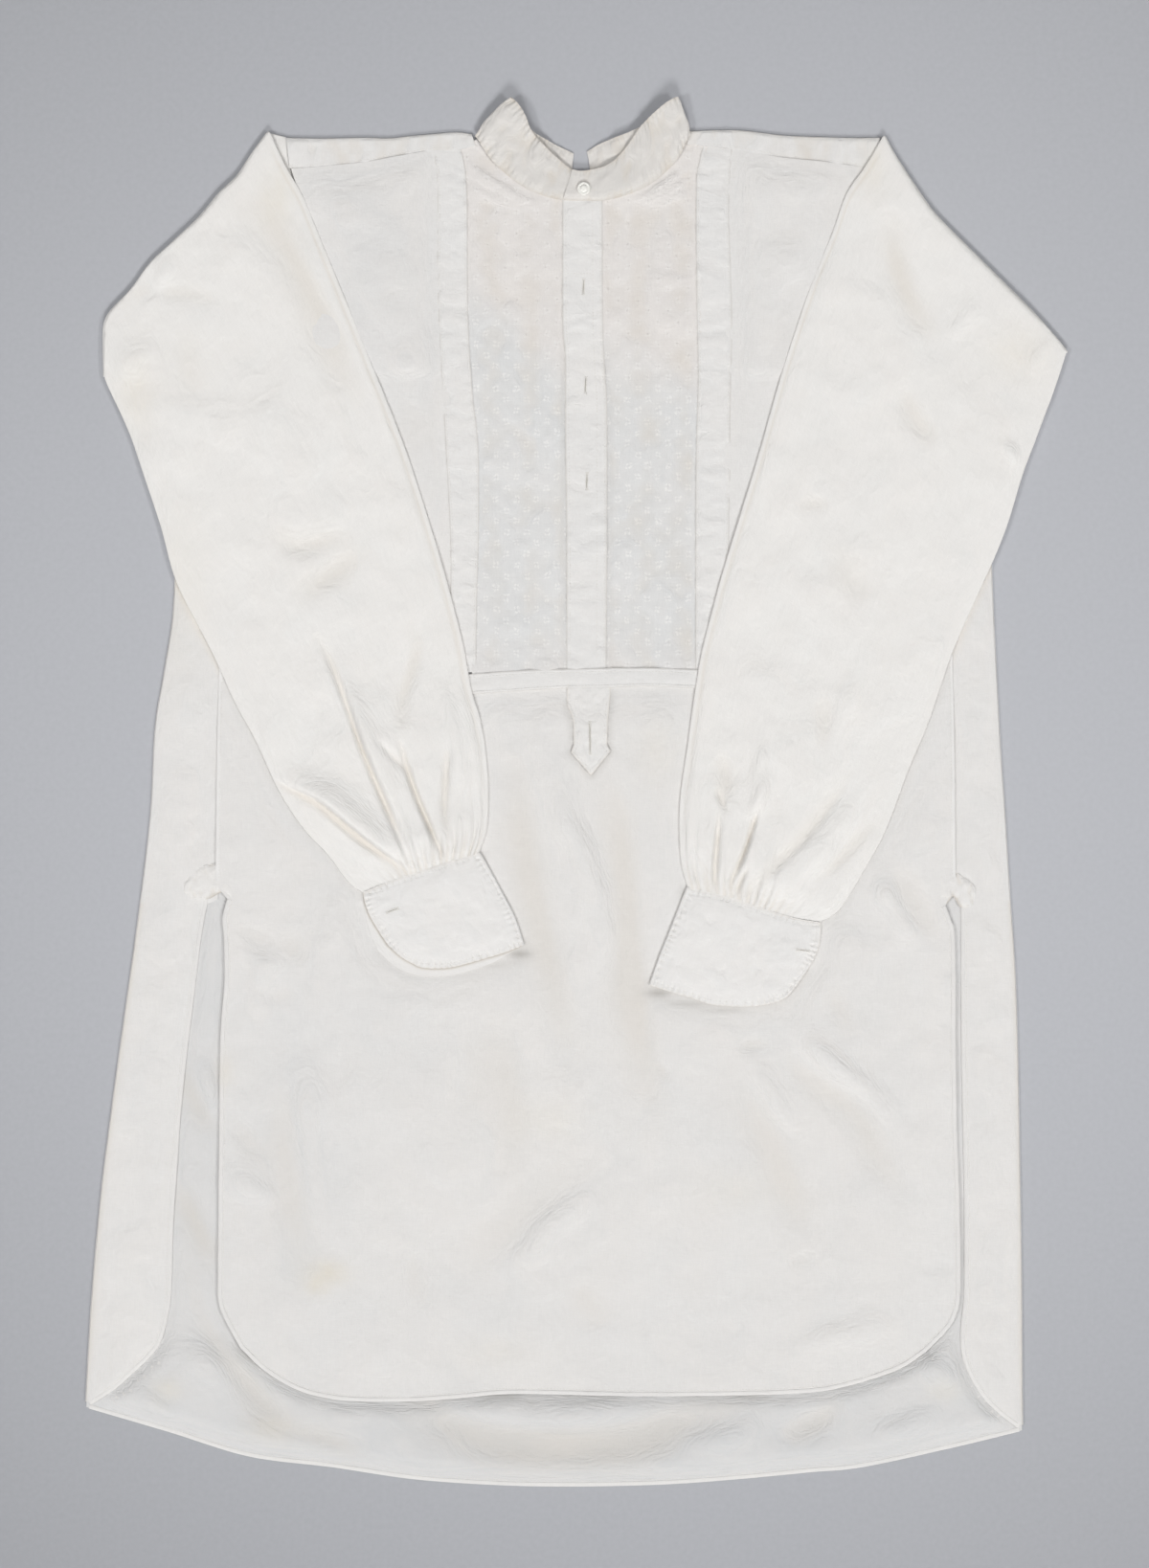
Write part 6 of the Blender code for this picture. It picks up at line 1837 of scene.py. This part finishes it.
def sewing():
    """Topstitching on the bands, the neckband, the cuffs, the hems and the seams."""
    stitched("band_stitches", [
        beside("band_left_cloth", BAND_OUTER_LEFT, 1.7, 0.01, 0.98),
        beside("band_left_cloth", BAND_INNER_LEFT, -1.7, 0.01, 0.98),
        beside("band_right_cloth", BAND_INNER_RIGHT, 1.7, 0.01, 0.98),
        beside("band_right_cloth", BAND_OUTER_RIGHT, -1.7, 0.01, 0.98),
        beside("placket_cloth", PLACKET_LEFT, sizes().inset / MM),
        beside("placket_cloth", PLACKET_RIGHT, -1.8),
        beside("placket_cloth", PLACKET_RIGHT, -7.5),
        ("placket_cloth", np.column_stack([np.linspace(-7.5, 13, 12), np.full(12, 390.0)])),
        beside("waist_band_cloth", WAIST_TOP, -1.3),
        beside("waist_band_cloth", WAIST_FOOT, 1.6),
        *(beside("tab_cloth", TAB[first:last], 2.2, 0.04, 0.96, 1.2, 3)
          for first, last in ((0, 3), (2, 5), (4, 6), (5, 7), (6, 9), (8, 10))),
    ])
    runs = []
    for side, stations, first in (("left", COLLAR_LEFT, 0.15), ("right", COLLAR_RIGHT, 0.01)):
        table = np.array(stations)
        ts = np.linspace(first, 0.56, 90)
        feet, tops = Path(table[:, :3]).at(ts), Path(table[:, 3:]).at(ts)
        for share in (0.09, 0.9):
            runs.append((f"collar_{side}_cloth", (feet + (tops - feet) * share)[:, :2]))
    stitched("neckband_stitches", runs)
    runs = []
    for side, turn, *lines in (
            ("left", 1, CUFF_FOLD_LEFT, CUFF_EDGE_LEFT, CUFF_FREE_LEFT, CUFF_SEAM_LEFT),
            ("right", -1, CUFF_FOLD_RIGHT, CUFF_EDGE_RIGHT, CUFF_FREE_RIGHT, CUFF_SEAM_RIGHT)):
        for line, inset in zip(lines, (-3.0, -3.0, 3.0, 2.2)):
            runs.append(beside(f"cuff_{side}_cloth", line, turn * inset, 0.03, 0.97))
    stitched("cuff_stitches", runs)
    edge = sizes().hem / MM + 0.5
    runs = [("front_cloth front_hem", shifted(front_edge(2), edge))]
    for vent, way in ((VENT_BACK_LEFT, -1), (VENT_BACK_RIGHT, 1)):
        runs.append(beside("back_cloth back_hem", vent, way * edge, 0.02, 0.96))
    runs.append(beside("back_cloth back_hem", BACK_HEM, edge, 0.03, 0.97))
    for seam, way in ((SIDE_SEAM_LEFT, 1), (SIDE_SEAM_RIGHT, -1)):
        runs.append(("front_cloth back_cloth side_seams", down_seam(seam, 2.0) + (way, 0)))
    for seam in (YOKE_SEAM_LEFT, YOKE_SEAM_RIGHT):
        runs.append(beside("yoke_cloth", seam[1:-1], 1.6, 0.0, 1.0))
    for side, outline, inset in (("left", GUSSET_LEFT, -1.5), ("right", GUSSET_RIGHT, 1.5)):
        runs.append((f"gusset_{side}_cloth", shifted(Path(outline + outline[:1], 6).line, inset)))
    stitched("body_stitches", runs)
    stitched("back_yoke_stitches", [beside("yoke_cloth back_cloth", BACK_YOKE_SEAM, 2.0)], up=False)


class TUNIC_OT_stage(bpy.types.Operator):
    """Add the table, the camera and the soft studio light"""
    bl_idname = "tunic.stage"
    bl_label = "Stage"

    def execute(self, context):
        stage()
        return {"FINISHED"}


class TUNIC_OT_back(bpy.types.Operator):
    """Add the back panel with its wrapped sides and free tail"""
    bl_idname = "tunic.back"
    bl_label = "Back"

    def execute(self, context):
        back()
        return {"FINISHED"}


class TUNIC_OT_front(bpy.types.Operator):
    """Add the front panel"""
    bl_idname = "tunic.front"
    bl_label = "Front"

    def execute(self, context):
        front()
        return {"FINISHED"}


class TUNIC_OT_yoke(bpy.types.Operator):
    """Add the yoke over the shoulders"""
    bl_idname = "tunic.yoke"
    bl_label = "Yoke"

    def execute(self, context):
        yoke()
        return {"FINISHED"}


class TUNIC_OT_bosoms(bpy.types.Operator):
    """Add the two sprigged voile panels"""
    bl_idname = "tunic.bosoms"
    bl_label = "Bosom"

    def execute(self, context):
        bosoms()
        return {"FINISHED"}


class TUNIC_OT_bands(bpy.types.Operator):
    """Add the bands, the placket, the waist band and the tab"""
    bl_idname = "tunic.bands"
    bl_label = "Bands"

    def execute(self, context):
        bands()
        tab()
        return {"FINISHED"}


class TUNIC_OT_gussets(bpy.types.Operator):
    """Add the gussets at the heads of the vents"""
    bl_idname = "tunic.gussets"
    bl_label = "Gussets"

    def execute(self, context):
        gussets()
        return {"FINISHED"}


class TUNIC_OT_sleeves(bpy.types.Operator):
    """Add both sleeves"""
    bl_idname = "tunic.sleeves"
    bl_label = "Sleeves"

    def execute(self, context):
        for side in ("left", "right"):
            sleeve(side)
        return {"FINISHED"}


class TUNIC_OT_cuffs(bpy.types.Operator):
    """Add both cuffs"""
    bl_idname = "tunic.cuffs"
    bl_label = "Cuffs"

    def execute(self, context):
        for side in ("left", "right"):
            cuff(side)
        return {"FINISHED"}


class TUNIC_OT_neckband(bpy.types.Operator):
    """Add both halves of the neckband and its pearl button"""
    bl_idname = "tunic.neckband"
    bl_label = "Neckband and button"

    def execute(self, context):
        for side in ("left", "right"):
            neckband(side)
        button()
        return {"FINISHED"}


class TUNIC_OT_hems(bpy.types.Operator):
    """Add the hems and the side seams to the front and the back"""
    bl_idname = "tunic.hems"
    bl_label = "Hems and seams"

    def execute(self, context):
        hems()
        return {"FINISHED"}


class TUNIC_OT_sewing(bpy.types.Operator):
    """Add the buttonholes and the stitches to all the pieces"""
    bl_idname = "tunic.sewing"
    bl_label = "Buttonholes and stitches"

    def execute(self, context):
        buttonholes()
        sewing()
        return {"FINISHED"}


OPERATORS = (
    TUNIC_OT_stage, TUNIC_OT_back, TUNIC_OT_front, TUNIC_OT_yoke, TUNIC_OT_bosoms, TUNIC_OT_bands,
    TUNIC_OT_gussets, TUNIC_OT_sleeves, TUNIC_OT_cuffs, TUNIC_OT_neckband, TUNIC_OT_hems, TUNIC_OT_sewing,
)


class TUNIC_PT_panel(bpy.types.Panel):
    """Sizes, colours and steps of the tunic shirt"""
    bl_idname = "TUNIC_PT_panel"
    bl_label = "Tunic Shirt"
    bl_space_type = "VIEW_3D"
    bl_region_type = "UI"
    bl_category = "Tunic"

    def draw(self, context):
        stage_settings = context.scene.tunic_stage
        for title, group in (("Sizes", sizes()), ("Colours", colours()), ("Stage", stage_settings)):
            box = self.layout.box()
            box.label(text=title)
            for name in group.__annotations__:
                box.prop(group, name)
        for kind in OPERATORS:
            self.layout.operator(kind.bl_idname)


CLASSES = (TUNIC_PG_sizes, TUNIC_PG_colours, TUNIC_PG_stage, *OPERATORS, TUNIC_PT_panel)


def register():
    for kind in CLASSES:
        bpy.utils.register_class(kind)
    bpy.types.Scene.tunic_sizes = PointerProperty(type=TUNIC_PG_sizes)
    bpy.types.Scene.tunic_colours = PointerProperty(type=TUNIC_PG_colours)
    bpy.types.Scene.tunic_stage = PointerProperty(type=TUNIC_PG_stage)


def unregister():
    del bpy.types.Scene.tunic_stage
    del bpy.types.Scene.tunic_colours
    del bpy.types.Scene.tunic_sizes
    for kind in reversed(CLASSES):
        bpy.utils.unregister_class(kind)


def main():
    register()
    steps = bpy.ops.tunic
    steps.stage()
    steps.back()
    steps.front()
    steps.yoke()
    steps.bosoms()
    steps.bands()
    steps.gussets()
    steps.sleeves()
    steps.cuffs()
    steps.neckband()
    steps.hems()
    steps.sewing()


if __name__ == "__main__":
    main()
